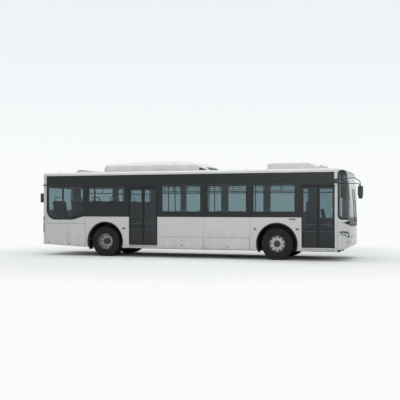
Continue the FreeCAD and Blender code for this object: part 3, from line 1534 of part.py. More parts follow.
def rows(shape, places):
    """Copies of a shape, moved by each place's three expressions."""
    feature = doc.addObject("Part::Feature", "Rows")
    feature.Shape = Part.makeCompound([
        solid.translated(FreeCAD.Vector(*(value(text) for text in place)))
        for place in places
        for solid in shape.Shape.Solids
    ])
    return feature


FIRST_ROW = "(%s + 190)" % MID_DOOR_END
LOW_ROW_COUNT = int(value("(%s - arch_radius - %s) / seat_pitch" % (FRONT_AXLE, FIRST_ROW)))
low_rows = [
    ("%s + seat_pitch * %d" % (FIRST_ROW, index), "0", "floor_height") for index in range(LOW_ROW_COUNT)
]
deck_rows = [
    ("%s - 560 - seat_pitch * %d" % (DECK_FRONT, index), "0", "deck_height") for index in range(4)
]
bench_rows = rows(bench, low_rows + deck_rows)
node(group(bench_rows, mirror(bench_rows)), "passenger_seats")

DRIVER_SEAT = "(%s - 480)" % wheel_x
DRIVER_SPAN = ("(driver_place - 240)", "(driver_place + 240)")
driver_shells = seat(DRIVER_SEAT, DRIVER_FLOOR, "(seat_depth + 60)", *DRIVER_SPAN)
driver_stand = box(
    (DRIVER_SEAT + " + 80", DRIVER_SEAT + " + 360"),
    ("driver_place - 150", "driver_place + 150"),
    (DRIVER_FLOOR, "%s + %s" % (DRIVER_FLOOR, under_cushion("80", "seat_depth + 60"))),
)
node(group(*driver_shells, driver_stand), "driver_seat")

# Grab rails: two tubes under the ceiling, and poles from floor to ceiling that carry them
CEILING = "(%s - roof_thickness)" % ROOF
RAIL_SPAN = (REAR_SEAM + " + 300", CAB_BACK + " - 200")
poles = [(MID_DOOR + " + 130", "floor_height"), (CAB_BACK + " - 240", "floor_height")]
poles += [
    ("%s + seat_pitch * %d - 130" % (FIRST_ROW, index), "floor_height")
    for index in range(0, LOW_ROW_COUNT + 1, 2)
]
poles += [("%s - 60 - seat_pitch * %d" % (DECK_FRONT, index), "deck_height") for index in (1, 3)]
poles.sort(key=lambda pole: value(pole[0]))
rail_set = [
    cylinder("Z", place, "grab_rail_place", base, "rail_tube_radius", "%s - %s" % (CEILING, base))
    for place, base in poles
]
stops = [RAIL_SPAN[0]]
for place, base in poles:
    stops += [place + " - rail_tube_radius - seat_gap", place + " + rail_tube_radius + seat_gap"]
stops.append(RAIL_SPAN[1])
for start, end in zip(stops[::2], stops[1::2]):
    rail_set.append(cylinder(
        "X", start, "grab_rail_place", "grab_rail_height", "rail_tube_radius", "(%s) - (%s)" % (end, start),
    ))
node(group(*rail_set, *[mirror(tube) for tube in rail_set]), "handrails")


# Check every object, then write one file for each sub-part
doc.recompute()
for thing in doc.Objects:
    if "Invalid" in thing.State or "Error" in thing.State:
        raise RuntimeError("%s (%s) was not built" % (thing.Label, thing.Name))
os.makedirs("parts", exist_ok=True)
for part in nodes:
    shape = part.Shape
    if shape.isNull() or not shape.isValid():
        raise RuntimeError("%s has no sound shape" % part.Label)
    shape.exportStep("parts/%s.step" % part.Label)
print("%d sub-parts written" % len(nodes))
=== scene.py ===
import bmesh
import bpy
import math
import numpy as np
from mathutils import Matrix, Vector


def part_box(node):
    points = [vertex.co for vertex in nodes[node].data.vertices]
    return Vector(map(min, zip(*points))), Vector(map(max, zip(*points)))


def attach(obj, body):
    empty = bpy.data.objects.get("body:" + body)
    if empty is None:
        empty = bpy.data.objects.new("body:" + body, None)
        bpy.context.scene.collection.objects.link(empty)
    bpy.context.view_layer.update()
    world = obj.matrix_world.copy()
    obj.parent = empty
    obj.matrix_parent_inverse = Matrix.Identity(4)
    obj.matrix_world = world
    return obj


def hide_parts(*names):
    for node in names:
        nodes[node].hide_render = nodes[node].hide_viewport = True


# A low-entry city bus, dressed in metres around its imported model: +X forward, +Y to its left, +Z up.

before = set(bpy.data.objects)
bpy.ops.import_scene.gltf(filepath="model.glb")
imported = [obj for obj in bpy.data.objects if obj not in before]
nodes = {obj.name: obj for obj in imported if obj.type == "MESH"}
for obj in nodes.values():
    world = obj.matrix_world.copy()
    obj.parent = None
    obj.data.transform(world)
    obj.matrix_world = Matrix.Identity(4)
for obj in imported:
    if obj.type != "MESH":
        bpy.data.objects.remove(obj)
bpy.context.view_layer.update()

# The studio: a pale floor that fades into a pale backdrop, one wide lamp overhead, and a fill from the
# camera's side. The camera stands by the nose at eye height, far off, looking slightly back along the bus.
floor_colour = (0.93, 0.945, 0.95)
backdrop_colour = (0.955, 0.97, 0.975)
corner_colour = (0.855, 0.89, 0.915)
sky_colour = (0.93, 0.97, 1.0)
sky_strength = 0.38
backdrop_rise = 0.30
floor_reach = 90.0
floor_fade = (3.6, 11.0)
camera_place = (8.117, -24.35, 1.69)
camera_turn = math.radians(18.5)
camera_rise = math.radians(0.63)
camera_lens = 65.34

scene = bpy.context.scene
scene.view_settings.view_transform = "Standard"


def add(made, kind, sockets=None, **settings):
    """A node in a material's tree; each socket gets a number, a colour or another node's output."""
    step = made.node_tree.nodes.new("ShaderNode" + kind)
    for name, setting in settings.items():
        setattr(step, name, setting)
    for name, source in (sockets or {}).items():
        if isinstance(source, bpy.types.NodeSocket):
            made.node_tree.links.new(source, step.inputs[name])
        else:
            step.inputs[name].default_value = source
    return step


def reckon(made, operation, *numbers):
    """Arithmetic between numbers and outputs, as one Math node."""
    return add(made, "Math", dict(enumerate(numbers)), operation=operation).outputs[0]


def spread(made, source, low, high, out_low=0.0, out_high=1.0, smooth=False):
    """A number carried from one span to another, held at the ends."""
    sockets = {"Value": source, "From Min": low, "From Max": high, "To Min": out_low, "To Max": out_high}
    return add(made, "MapRange", sockets, interpolation_type="SMOOTHSTEP" if smooth else "LINEAR").outputs[0]


def blend_colours(made, factor, first, second):
    """Two colours mixed by a factor; either may be an output."""
    mixer = add(made, "Mix", {0: factor}, data_type="RGBA")
    for index, colour in ((6, first), (7, second)):
        if isinstance(colour, bpy.types.NodeSocket):
            made.node_tree.links.new(colour, mixer.inputs[index])
        else:
            mixer.inputs[index].default_value = (*colour, 1)
    return mixer.outputs[2]


def seen_directly(made):
    """One for rays from the camera, in a mirror or through glass; none for the light that falls on things."""
    rays = add(made, "LightPath").outputs
    most = reckon(made, "MAXIMUM", rays["Is Camera Ray"], rays["Is Glossy Ray"])
    return reckon(made, "MAXIMUM", most, rays["Is Transmission Ray"])


def on_object(made):
    """The place on the piece, in metres from the bus's origin."""
    return add(made, "TexCoord").outputs["Object"]


def light_studio():
    """The world: an even pale light, and a paler backdrop for what is seen directly."""
    world = bpy.data.worlds.new("studio")
    world.use_nodes = True
    scene.world = world
    tree = world.node_tree
    lighting = tree.nodes["Background"]
    lighting.inputs["Color"].default_value = (*sky_colour, 1)
    lighting.inputs["Strength"].default_value = sky_strength
    height = add(world, "SeparateXYZ", {0: add(world, "TexCoord").outputs["Generated"]}).outputs["Z"]
    shade = spread(world, height, 0.0, backdrop_rise, smooth=True)
    fading = blend_colours(world, shade, backdrop_colour, corner_colour)
    backdrop = add(world, "Background", {"Color": fading})
    mix = add(world, "MixShader", {0: seen_directly(world), 1: lighting.outputs[0], 2: backdrop.outputs[0]})
    tree.links.new(mix.outputs[0], tree.nodes["World Output"].inputs[0])
    lamps = (
        ("overhead", (0.0, 0.0, 11.0), (0.0, 0.0, 0.0), (20.0, 9.0), 1000, (1.0, 0.99, 0.97)),
        ("camera_side", (5.0, -17.0, 7.0), (0.0, 0.0, 1.4), (12.0, 5.0), 700, (1.0, 0.99, 0.98)),
    )
    for name, place, aim, size, power, colour in lamps:
        lamp = bpy.data.lights.new(name, "AREA")
        lamp.shape = "RECTANGLE"
        lamp.size, lamp.size_y = size
        lamp.energy = power
        lamp.color = colour
        holder = bpy.data.objects.new(name, lamp)
        holder.location = place
        holder.rotation_euler = (Vector(aim) - Vector(place)).to_track_quat("-Z", "Y").to_euler()
        scene.collection.objects.link(holder)


def lay_floor():
    """The floor: pale and matt near the bus, fading into the backdrop's own colour further off."""
    ways = ((-1, -1), (1, -1), (1, 1), (-1, 1))
    corners = [(way_x * floor_reach, way_y * floor_reach, 0) for way_x, way_y in ways]
    mesh = bpy.data.meshes.new("floor")
    mesh.from_pydata(corners, [], [(0, 1, 2, 3)])
    floor = bpy.data.objects.new("floor", mesh)
    scene.collection.objects.link(floor)
    paper = bpy.data.materials.new("studio_paper")
    paper.use_nodes = True
    tree = paper.node_tree
    shader = tree.nodes["Principled BSDF"]
    shader.inputs["Base Color"].default_value = (*floor_colour, 1)
    shader.inputs["Roughness"].default_value = 0.9
    shader.inputs["Specular IOR Level"].default_value = 0.0
    distance = add(paper, "VectorMath", {0: on_object(paper)}, operation="LENGTH").outputs["Value"]
    far = spread(paper, distance, *floor_fade, smooth=True)
    glow = add(paper, "Emission", {"Color": (*backdrop_colour, 1)})
    factor = reckon(paper, "MULTIPLY", far, seen_directly(paper))
    mix = add(paper, "MixShader", {0: factor, 1: shader.outputs[0], 2: glow.outputs[0]})
    tree.links.new(mix.outputs[0], tree.nodes["Material Output"].inputs[0])
    mesh.materials.append(paper)


light_studio()
lay_floor()
camera = bpy.data.objects.new("camera", bpy.data.cameras.new("camera"))
camera.data.lens = camera_lens
camera.location = camera_place
looking = Vector((-math.sin(camera_turn), math.cos(camera_turn), math.tan(camera_rise)))
camera.rotation_euler = looking.to_track_quat("-Z", "Y").to_euler()
scene.collection.objects.link(camera)
scene.camera = camera

# Chassis: welded steel rails and cross members, a dropped front axle beam, knuckles and a tie rod, and the
# rear axle, all in dark chassis enamel with road dust; the engine behind the rear axle is cast and painted.


def join(made, output, shader, socket):
    """Wire an output into a shader's socket."""
    made.node_tree.links.new(output, shader.inputs[socket])


def finish(name, colour, roughness, **sockets):
    """A finish with one shader: its material and that shader, for details to be wired into."""
    made = bpy.data.materials.new(name)
    made.use_nodes = True
    shader = made.node_tree.nodes["Principled BSDF"]
    shader.inputs["Base Color"].default_value = (*colour, 1)
    shader.inputs["Roughness"].default_value = roughness
    for socket, number in sockets.items():
        shader.inputs[socket.replace("_", " ")].default_value = number
    return made, shader


def patches(made, scale, detail=4.0, stretch=(1, 1, 1)):
    """Noise on the object's own coordinates, finer as the scale grows."""
    mapped = add(made, "Mapping", {"Vector": on_object(made), "Scale": stretch}).outputs[0]
    return add(made, "TexNoise", {"Vector": mapped, "Scale": scale, "Detail": detail}).outputs[0]


def emboss(made, shader, height, strength, distance):
    """A fine relief from an output."""
    relief = add(made, "Bump", {"Height": height, "Strength": strength, "Distance": distance})
    join(made, relief.outputs[0], shader, "Normal")


def roughen(made, shader, scale, low, high, bump=0.0, depth=0.001):
    """Uneven gloss from one noise, and a fine relief from the same."""
    grain = patches(made, scale)
    join(made, spread(made, grain, 0.3, 0.7, low, high), shader, "Roughness")
    if bump:
        emboss(made, shader, grain, bump, depth)


def grained(name, colour, roughness, *gloss, **sockets):
    """A finish of one colour, its gloss given as roughen takes it."""
    made, shader = finish(name, colour, roughness, **sockets)
    roughen(made, shader, *gloss)
    return made


def mottled(name, roughness, clean, stained, scale, span, gloss=(), detail=4.0, **sockets):
    """A finish of two colours in soft patches: noise over a span turns the clean one into the stained."""
    made, shader = finish(name, clean, roughness, **sockets)
    stain = spread(made, patches(made, scale, detail), *span)
    join(made, blend_colours(made, stain, clean, stained), shader, "Base Color")
    if gloss:
        roughen(made, shader, *gloss)
    return made


def dress(material, *names):
    """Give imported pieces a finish."""
    for name in names:
        slots = nodes[name].data.materials
        slots.clear()
        slots.append(material)


enamel = mottled(
    "chassis_enamel", 0.55, (0.022, 0.022, 0.024), (0.09, 0.082, 0.07), 6.0, (0.45, 0.75, 0.0, 0.55),
    gloss=(40.0, 0.45, 0.8, 0.25))
cast_metal = mottled(
    "cast_metal", 0.6, (0.12, 0.125, 0.13), (0.05, 0.046, 0.042), 9.0, (0.4, 0.7),
    gloss=(90.0, 0.5, 0.75, 0.4), Metallic=0.35)
dress(enamel, "underframe", "rear_axle", "front_axle", "knuckle_left", "knuckle_right", "tie_rod")
dress(cast_metal, "engine_block")

# Tyres: radial rubber casings with a smooth bulged sidewall, a raised rim guard, and a tread of five ribs
# between four grooves, the outer ribs cut across by slots. They are moulded in one piece round the bead.


def closed_mesh(name, grids):
    """Grids of points as one closed mesh: every cell a face, doubles merged, all faces turned outwards."""
    points, faces, base = [], [], 0
    for grid in grids:
        grid = np.asarray(grid, float)
        rows, columns = grid.shape[:2]
        index = base + np.arange(rows * columns).reshape(rows, columns)
        corners = (index[:-1, :-1], index[1:, :-1], index[1:, 1:], index[:-1, 1:])
        faces.append(np.stack([corner.ravel() for corner in corners], axis=1))
        points.append(grid.reshape(-1, 3))
        base += rows * columns
    mesh = bpy.data.meshes.new(name)
    mesh.from_pydata(np.concatenate(points).tolist(), [], np.concatenate(faces).tolist())
    shape = bmesh.new()
    shape.from_mesh(mesh)
    bmesh.ops.remove_doubles(shape, verts=shape.verts, dist=1e-5)
    bmesh.ops.recalc_face_normals(shape, faces=shape.faces)
    shape.to_mesh(mesh)
    shape.free()
    return mesh


def fit_piece(name, mesh, material, smooth, body):
    """A mesh made a piece: its smoothing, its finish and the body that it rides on."""
    mesh.shade_smooth()
    mesh.set_sharp_from_angle(angle=math.radians(smooth))
    made = bpy.data.objects.new(name, mesh)
    scene.collection.objects.link(made)
    mesh.materials.append(material)
    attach(made, body)
    return made


def mesh_piece(name, grids, material, smooth=40, body="body"):
    """Grids of points as a finished piece."""
    return fit_piece(name, closed_mesh(name, grids), material, smooth, body)


def lathe(profile, centre, side, sides, reshape=None):
    """A profile turned about an axle along Y.

    Each profile point is a radius and a distance outwards from the centre; side is 1 on the bus's left and -1
    on its right. A point goes to centre + (radius cos turn, side distance, radius sin turn).
    """
    profile = np.asarray(profile, float)
    turn = np.linspace(0, 2 * np.pi, sides + 1)
    radius = np.repeat(profile[:, :1], sides + 1, axis=1)
    across = np.repeat(profile[:, 1:2], sides + 1, axis=1)
    if reshape:
        radius = reshape(radius, across, turn[None, :])
    grid = np.empty((*radius.shape, 3))
    grid[..., 0] = centre[0] + radius * np.cos(turn)
    grid[..., 1] = centre[1] + side * across
    grid[..., 2] = centre[2] + radius * np.sin(turn)
    grid[:, -1] = grid[:, 0]
    return grid


tyre_low, tyre_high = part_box("front_left_tyre")
rim_low, rim_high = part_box("front_left_rim")
tyre_radius = (tyre_high.z - tyre_low.z) / 2
tyre_width = tyre_high.y - tyre_low.y
bead_radius = (rim_high.z - rim_low.z) / 2
tyre_face = tyre_high.y
twins_low, twins_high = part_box("rear_left_tyres")
twin_step = twins_high.y - twins_low.y - tyre_width
front_axle = (tyre_low.x + tyre_high.x) / 2
rear_axle = (twins_low.x + twins_high.x) / 2
groove_places = (0.088, 0.034)
groove_width = 0.014
groove_depth = 0.013
slot_depth = 0.009
lug_count = 54
# Each wheel's name, body, axle, side (1 on the left) and number of tyres
wheel_rows = (
    ("front_left", "front_left_wheel", front_axle, 1, 1),
    ("front_right", "front_right_wheel", front_axle, -1, 1),
    ("rear_left", "rear_left_wheels", rear_axle, 1, 2),
    ("rear_right", "rear_right_wheels", rear_axle, -1, 2),
)


def tyre_section():
    """A section of the casing, radius against distance from the tread's middle: one half, then its mirror."""
    half = tyre_width / 2
    bead_edge = (bead_radius - 0.004, half - 0.040)
    guard = [(0.006, 0.024), (0.020, 0.013), (0.026, 0.014), (0.055, 0.006), (0.095, 0.001), (0.125, 0.0),
             (0.150, 0.003), (0.153, 0.006), (0.175, 0.008)]
    shoulder = [(0.052, 0.009), (0.030, 0.012), (0.012, 0.020), (0.004, 0.032), (0.001, 0.044), (0.0, 0.060)]
    outer_half = [bead_edge]
    outer_half += [(bead_radius + rise, half - inset) for rise, inset in guard]
    outer_half += [(tyre_radius - drop, half - inset) for drop, inset in shoulder]
    for groove in groove_places:
        for step, depth in ((1.0, 0.0), (0.72, 1.0), (-0.72, 1.0), (-1.0, 0.0)):
            outer_half.append((tyre_radius - groove_depth * depth, groove + step * groove_width / 2))
    inner_half = [(radius, -across) for radius, across in reversed(outer_half)]
    return outer_half + inner_half + [bead_edge]


def cut_slots(radius, across, turn):
    """The outer ribs' slots: a square wave round the tread, held to the shoulders."""
    beyond_groove = np.clip((np.abs(across) - 0.097) / 0.006, 0, 1)
    near_tread = np.clip((radius - tyre_radius + 0.050) / 0.02, 0, 1)
    wave = np.clip((np.cos(turn * lug_count) - 0.62) * 8, 0, 1)
    return radius - slot_depth * beyond_groove * near_tread * wave


tread_rubber = mottled(
    "tread_rubber", 0.75, (0.0095, 0.0105, 0.0115), (0.026, 0.025, 0.024), 7.0, (0.4, 0.8, 0.0, 0.5),
    gloss=(60.0, 0.6, 0.85, 0.2), Specular_IOR_Level=0.25)
for corner, body, axle, side, tyre_count in wheel_rows:
    middles = [side * (tyre_face - tyre_width / 2 - row * twin_step) for row in range(tyre_count)]
    casings = [
        lathe(tyre_section(), (axle, middle, tyre_radius), side, lug_count * 6, cut_slots)
        for middle in middles
    ]
    tyres = mesh_piece(corner + "_tread", casings, tread_rubber, 35, body)
    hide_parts(body.replace("wheel", "tyre"))

# Wheels: pressed steel discs welded in their barrels, in silver enamel dulled by brake dust, on ten studs. A
# black pressed cap with eight bolts closes each hub, further out on the rear axle, and a cast brake drum
# stands behind each rim.

nut_circle = 0.1675
nut_count = 10
bolt_circle = 0.078
bolt_count = 8
# The disc's face, how far the hub stands out of it, and the hub's radius
front_hub = (tyre_face - tyre_width + 0.240, 0.036, 0.106)
rear_hub = (tyre_face - tyre_width + 0.110, 0.090, 0.112)
nut_profiles = (
    ([(0.0, 0.001), (0.021, 0.001), (0.021, 0.005), (0.0, 0.005)], 16),
    ([(0.0, 0.005), (0.018, 0.005), (0.018, 0.024), (0.015, 0.027), (0.0, 0.027)], 6),
    ([(0.0, 0.027), (0.010, 0.027), (0.010, 0.037), (0.008, 0.039), (0.0, 0.039)], 10),
)
bolt_profile = [(0.0, 0.0), (0.009, 0.0), (0.009, 0.006), (0.0, 0.007)]


def wheel_enamel(name, axle, disc_edge):
    """Silver enamel, dusty round the holes; the barrel beyond the disc's edge is painted near black, as
    painted shade for the recess inside the tyre.
    """
    made, shader = finish(name, (0.50, 0.51, 0.52), 0.45, Metallic=0.25)
    x, y, z = add(made, "SeparateXYZ", {0: on_object(made)}).outputs
    along = reckon(made, "POWER", reckon(made, "SUBTRACT", x, axle), 2.0)
    up = reckon(made, "POWER", reckon(made, "SUBTRACT", z, tyre_radius), 2.0)
    reach = reckon(made, "SQRT", reckon(made, "ADD", along, up))
    darkening = spread(made, patches(made, 14.0), 0.42, 0.75, 0.0, 0.45)
    disc = blend_colours(made, darkening, (0.52, 0.53, 0.53), (0.12, 0.11, 0.10))
    # Painted shade: the recessed barrel between the disc's edge and the tyre is painted near black.
    barrel_shade = spread(made, reach, disc_edge, disc_edge + 0.014)
    join(made, blend_colours(made, barrel_shade, disc, (0.045, 0.045, 0.045)), shader, "Base Color")
    roughen(made, shader, 70.0, 0.35, 0.65, 0.15)
    return made


def round_axle(axle, side, reach, radius, count, start=0.0):
    """Places on a circle round an axle: axle + radius (cos turn, sin turn), at one distance out."""
    turns = [2 * math.pi * (index + start) / count for index in range(count)]
    return [
        (axle + radius * math.cos(turn), side * reach, tyre_radius + radius * math.sin(turn))
        for turn in turns
    ]


plated = grained("bright_steel", (0.55, 0.56, 0.58), 0.32, 120.0, 0.25, 0.45, 0.1, Metallic=1.0)
plastic = grained("black_plastic", (0.014, 0.014, 0.015), 0.48, 260.0, 0.40, 0.6, 0.35, 0.0005)
dress(wheel_enamel("front_wheel_enamel", front_axle, 0.236), "front_left_rim", "front_right_rim")
dress(wheel_enamel("rear_wheel_enamel", rear_axle, 0.262), "rear_left_rims", "rear_right_rims")
for corner, body, axle, side, tyre_count in wheel_rows:
    disc_face, hub_reach, hub_radius = rear_hub if tyre_count > 1 else front_hub
    hub_end = disc_face + hub_reach
    centre = (axle, 0.0, tyre_radius)
    hardware = [
        lathe(profile, place, side, facets)
        for place in round_axle(axle, side, disc_face, nut_circle, nut_count, 0.5)
        for profile, facets in nut_profiles
    ]
    mesh_piece(corner + "_nuts", hardware, plated, 30, body)
    cap = [
        (0.0, disc_face - 0.004), (hub_radius + 0.012, disc_face - 0.004),
        (hub_radius + 0.012, disc_face + 0.006), (hub_radius + 0.003, disc_face + 0.010),
        (hub_radius + 0.002, hub_end - 0.012), (hub_radius - 0.006, hub_end),
        (hub_radius - 0.020, hub_end + 0.002), (0.050, hub_end + 0.003),
        (0.044, hub_end + 0.009), (0.0, hub_end + 0.010),
    ]
    mesh_piece(corner + "_hub_cap", [lathe(cap, centre, side, 48)], plastic, smooth=30, body=body)
    places = round_axle(axle, side, hub_end + 0.002, bolt_circle, bolt_count)
    bolts = [lathe(bolt_profile, place, side, 6) for place in places]
    mesh_piece(corner + "_hub_bolts", bolts, enamel, 30, body)
    drum = [
        (0.130, disc_face - 0.075), (0.252, disc_face - 0.075), (0.252, disc_face - 0.055),
        (0.130, disc_face - 0.055), (0.130, disc_face - 0.075),
    ]
    mesh_piece(corner + "_drum", [lathe(drum, centre, side, 48)], enamel, 40, body)

# Floors: plywood decks under grey vinyl with fine flecks, the step edges and wheel boxes in the same vinyl;
# the wheel housings below are black moulded plastic.

floor_vinyl = mottled(
    "floor_vinyl", 0.6, (0.055, 0.06, 0.065), (0.22, 0.22, 0.22), 300.0, (0.60, 0.68),
    gloss=(30.0, 0.5, 0.7, 0.2), detail=1.0)
dress(floor_vinyl, "floor_deck", "driver_cab")
dress(plastic, "wheel_housings")

# Side walls: aluminium sheets bonded to a welded frame. Outside, the lower half is white coach paint and the
# window band above it is black; the jambs are black and the inside is lined in grey laminate.

wall_inside, wall_face = (corner.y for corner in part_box("left_side_wall"))
tail_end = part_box("right_side_wall")[0].x
belt_height = 1.385
tail_belt_height = 1.270
belt_fall_start = -3.96
belt_fall_end = -4.45
tail_corner_radius = 0.36
pillar_start = 4.862
paint_white = (0.635, 0.645, 0.615)
paint_darkened = (0.41, 0.41, 0.385)
band_black = (0.0085, 0.0125, 0.0138)
jamb_black = (0.012, 0.013, 0.014)
lining_grey = (0.50, 0.515, 0.525)


def coach_white(made, height):
    """White paint: faint unevenness all over, and darker in upright streaks towards the bottom."""
    # Darker towards the bottom: the white is mixed towards a darker grey in upright streaks, most of all
    # below the sill.
    sill = spread(made, height, 0.34, 0.42, 1.0, 0.55)
    low = reckon(made, "MULTIPLY", spread(made, height, 0.30, 1.25, 1.0, 0.0), sill)
    streak = spread(made, patches(made, 5.0, 4.0, (1, 1, 0.3)), 0.35, 0.75, 0.25, 1.0)
    darkening = reckon(made, "MULTIPLY", low, streak)
    uneven = spread(made, patches(made, 1.3, 5.0), 0.35, 0.7, 0.0, 0.12)
    return blend_colours(made, reckon(made, "MAXIMUM", darkening, uneven), paint_white, paint_darkened)


def orange_peel(made, shader):
    """The faint waviness of sprayed paint."""
    emboss(made, shader, patches(made, 55.0, 2.0), 0.04, 0.002)


def side_paint():
    """The side walls' paint, its black band bounded below by the belt line and its rounded tail corner."""
    made, shader = finish(
        "side_paint", paint_white, 0.32, Coat_Weight=0.08, Coat_Roughness=0.08, Specular_IOR_Level=0.3)
    x, y, z = add(made, "SeparateXYZ", {0: on_object(made)}).outputs
    belt = spread(made, x, belt_fall_end, belt_fall_start, tail_belt_height, belt_height, smooth=True)
    above = reckon(made, "GREATER_THAN", z, belt)
    behind = reckon(made, "MAXIMUM", reckon(made, "SUBTRACT", tail_end + tail_corner_radius, x), 0.0)
    below = reckon(made, "MAXIMUM", reckon(made, "SUBTRACT", tail_belt_height + tail_corner_radius, z), 0.0)
    squares = [reckon(made, "POWER", distance, 2.0) for distance in (behind, below)]
    reach = reckon(made, "SQRT", reckon(made, "ADD", *squares))
    rounded = reckon(made, "LESS_THAN", reach, tail_corner_radius)
    behind_pillar = reckon(made, "LESS_THAN", x, pillar_start)
    black = reckon(made, "MULTIPLY", reckon(made, "MULTIPLY", above, rounded), behind_pillar)
    skin = blend_colours(made, black, coach_white(made, z), band_black)
    depth = reckon(made, "ABSOLUTE", y)
    jamb = reckon(made, "LESS_THAN", depth, wall_face - 0.0105)
    lined = reckon(made, "LESS_THAN", depth, wall_inside + 0.004)
    inner = blend_colours(made, lined, jamb_black, lining_grey)
    join(made, blend_colours(made, jamb, skin, inner), shader, "Base Color")
    orange_peel(made, shader)
    return made


def panel_paint():
    """Coach paint for panels with no band."""
    made, shader = finish("coach_paint", paint_white, 0.32, Coat_Weight=0.4, Coat_Roughness=0.08)
    height = add(made, "SeparateXYZ", {0: on_object(made)}).outputs["Z"]
    join(made, coach_white(made, height), shader, "Base Color")
    orange_peel(made, shader)
    return made


coach_paint = panel_paint()
flaps = [name for name in nodes if name.startswith("flap_")]
dress(side_paint(), "right_side_wall", "left_side_wall")
dress(coach_paint, *flaps, "roof_shell", "front_mask", "rear_mask", "engine_hatch", "roof_hatches")

# Glass: grey-green safety glass bonded into rebates, clear enough to show the seats and the far windows.
# The doors' panes are the darkest and the windscreen is the clearest.

door_names = ("front_door_rear_leaf", "front_door_front_leaf", "mid_door_rear_leaf", "mid_door_front_leaf")


def tinted_glass(name, tint):
    """A pane: each face passes a tinted view, and the outer one mirrors more as the view grows flatter."""
    made = bpy.data.materials.new(name)
    made.use_nodes = True
    tree = made.node_tree
    tree.nodes.remove(tree.nodes["Principled BSDF"])
    film = add(made, "BsdfTransparent", {"Color": (*tint, 1)})
    mirror = add(made, "BsdfGlossy", {"Color": (0.92, 0.96, 1.0, 1), "Roughness": 0.02})
    outer_face = reckon(made, "SUBTRACT", 1.0, add(made, "NewGeometry").outputs["Backfacing"])
    gloss = reckon(made, "MULTIPLY", outer_face, add(made, "Fresnel", {"IOR": 1.5}).outputs[0])
    mix = add(made, "MixShader", {0: gloss, 1: film.outputs[0], 2: mirror.outputs[0]})
    tree.links.new(mix.outputs[0], tree.nodes["Material Output"].inputs[0])
    return made


dress(tinted_glass("window_glass", (0.61, 0.685, 0.70)), "window_panes")
dress(tinted_glass("screen_glass", (0.745, 0.775, 0.775)), "windscreen")
dress(tinted_glass("door_glass", (0.535, 0.615, 0.64)), *[name + "_glass" for name in door_names])

# Bought-in parts in their makers' finishes: powder-coated door leaves on zinc-plated arms, black grained
# mouldings for the mirrors, wipers, arch lips and dashboard, moulded seat shells, and a cowl bleached grey.

coated = grained("black_coating", (0.012, 0.0135, 0.014), 0.38, 200.0, 0.32, 0.5, 0.15, 0.0005)
seat_shell = grained("seat_shell", (0.035, 0.05, 0.062), 0.5, 150.0, 0.42, 0.6, 0.2, 0.0005)
grey_moulding = grained("grey_plastic", (0.13, 0.13, 0.135), 0.55, 220.0, 0.48, 0.65, 0.3, 0.0005)
dress(coated, *door_names, "handrails")
dress(plated, *[name + "_arms" for name in door_names])
dress(plastic, "dashboard", "steering_wheel", "mirrors", "wipers", "rear_lamps", "arch_lips", "rain_ledge")
dress(seat_shell, "passenger_seats", "driver_seat")
dress(grey_moulding, "wiper_cowl")

# Side windows: toughened panes bonded over black printed borders with round inner corners, bedded in rubber.
# The upper third of each tall pane slides in a thin black channel.

door_gap = 0.010
mid_door_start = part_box("mid_door_rear_leaf")[0].x - door_gap
mid_door_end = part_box("mid_door_front_leaf")[1].x + door_gap
front_door_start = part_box("front_door_rear_leaf")[0].x - door_gap
front_door_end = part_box("front_door_front_leaf")[1].x + door_gap
door_bay = front_door_start - mid_door_end
window_sill = 1.520
window_head = 2.530
vent_bar = 2.240
vent_catch = 2.375
border_width = 0.045
# Each pane's ends along the bus, its sill and its head
tall_panes = [
    (mid_door_end + door_bay * start, mid_door_end + door_bay * end, window_sill, window_head)
    for start, end in ((0.0256, 0.3199), (0.3547, 0.6390), (0.6718, 0.9637))
]
left_only_panes = [
    (mid_door_start + 0.001, mid_door_end - 0.003, window_sill, window_head),
    (front_axle + 0.850, front_axle + 1.830, 1.300, window_head),
]
arch_pane = (rear_axle - 0.681, rear_axle + 0.764, 1.876, 2.465)
tail_pane = (rear_axle - 2.300, rear_axle - 0.831, 1.290, 2.479)
sides = ((-1, "right"), (1, "left"))


def round_corners(left, right, low, high, *radii):
    """A rectangle's outline with a quarter circle at each corner, from the upper right one anticlockwise.

    Each row is a point and its outward normal: corner centre + radius (cos turn, sin turn), and (cos, sin).
    """
    radii = (radii * 4)[:4]
    rows = []
    for quarter, radius in enumerate(radii):
        turn = np.linspace(0, np.pi / 2, 9) + quarter * np.pi / 2
        across = (right - radius) if quarter in (0, 3) else (left + radius)
        up = (high - radius) if quarter in (0, 1) else (low + radius)
        normal = np.stack([np.cos(turn), np.sin(turn)], axis=1)
        rows.append(np.concatenate([(across, up) + radius * normal, normal], axis=1))
    ring = np.concatenate(rows)
    return np.concatenate([ring, ring[:1]])


def centred(along, up, half_along, half_up, radius):
    """A round-cornered outline about its middle."""
    return round_corners(along - half_along, along + half_along, up - half_up, up + half_up, radius)


def grown(ring, amount):
    """An outline moved along its normals."""
    return np.concatenate([ring[:, :2] + ring[:, 2:] * amount, ring[:, 2:]], axis=1)


def on_plane(axis, level, way):
    """Places on a plane square to an axis: its two other coordinates, and a distance out from it."""
    def place(first, second, out):
        first, second, out = np.broadcast_arrays(first, second, out)
        coordinates = [first, second]
        coordinates.insert(axis, level + way * out)
        return np.stack(coordinates, axis=-1)
    return place


def on_side(side):
    """Places on a side wall: along the bus, up, and out from the skin."""
    return on_plane(1, side * wall_face, side)


def band(outer, inner, low, high, place):
    """A flat ring between two outlines: its four edges carried round, from one height to another."""
    edges = ((outer, low), (outer, high), (inner, high), (inner, low), (outer, low))
    return np.stack([place(ring[:, 0], ring[:, 1], height) for ring, height in edges])


def plate(ring, low, high, place, edge=0.002):
    """A convex outline filled: from the middle of its face out over a rounded edge, and back underneath."""
    middle = np.broadcast_to(ring[:, :2].mean(axis=0), (len(ring), 2))
    edge = min(edge, high - low)
    rows = (
        (middle, high), (grown(ring, -edge), high), (grown(ring, -edge * 0.3), high - edge * 0.3),
        (ring, high - edge), (ring, low), (middle, low),
    )
    return np.stack([place(points[:, 0], points[:, 1], height) for points, height in rows])


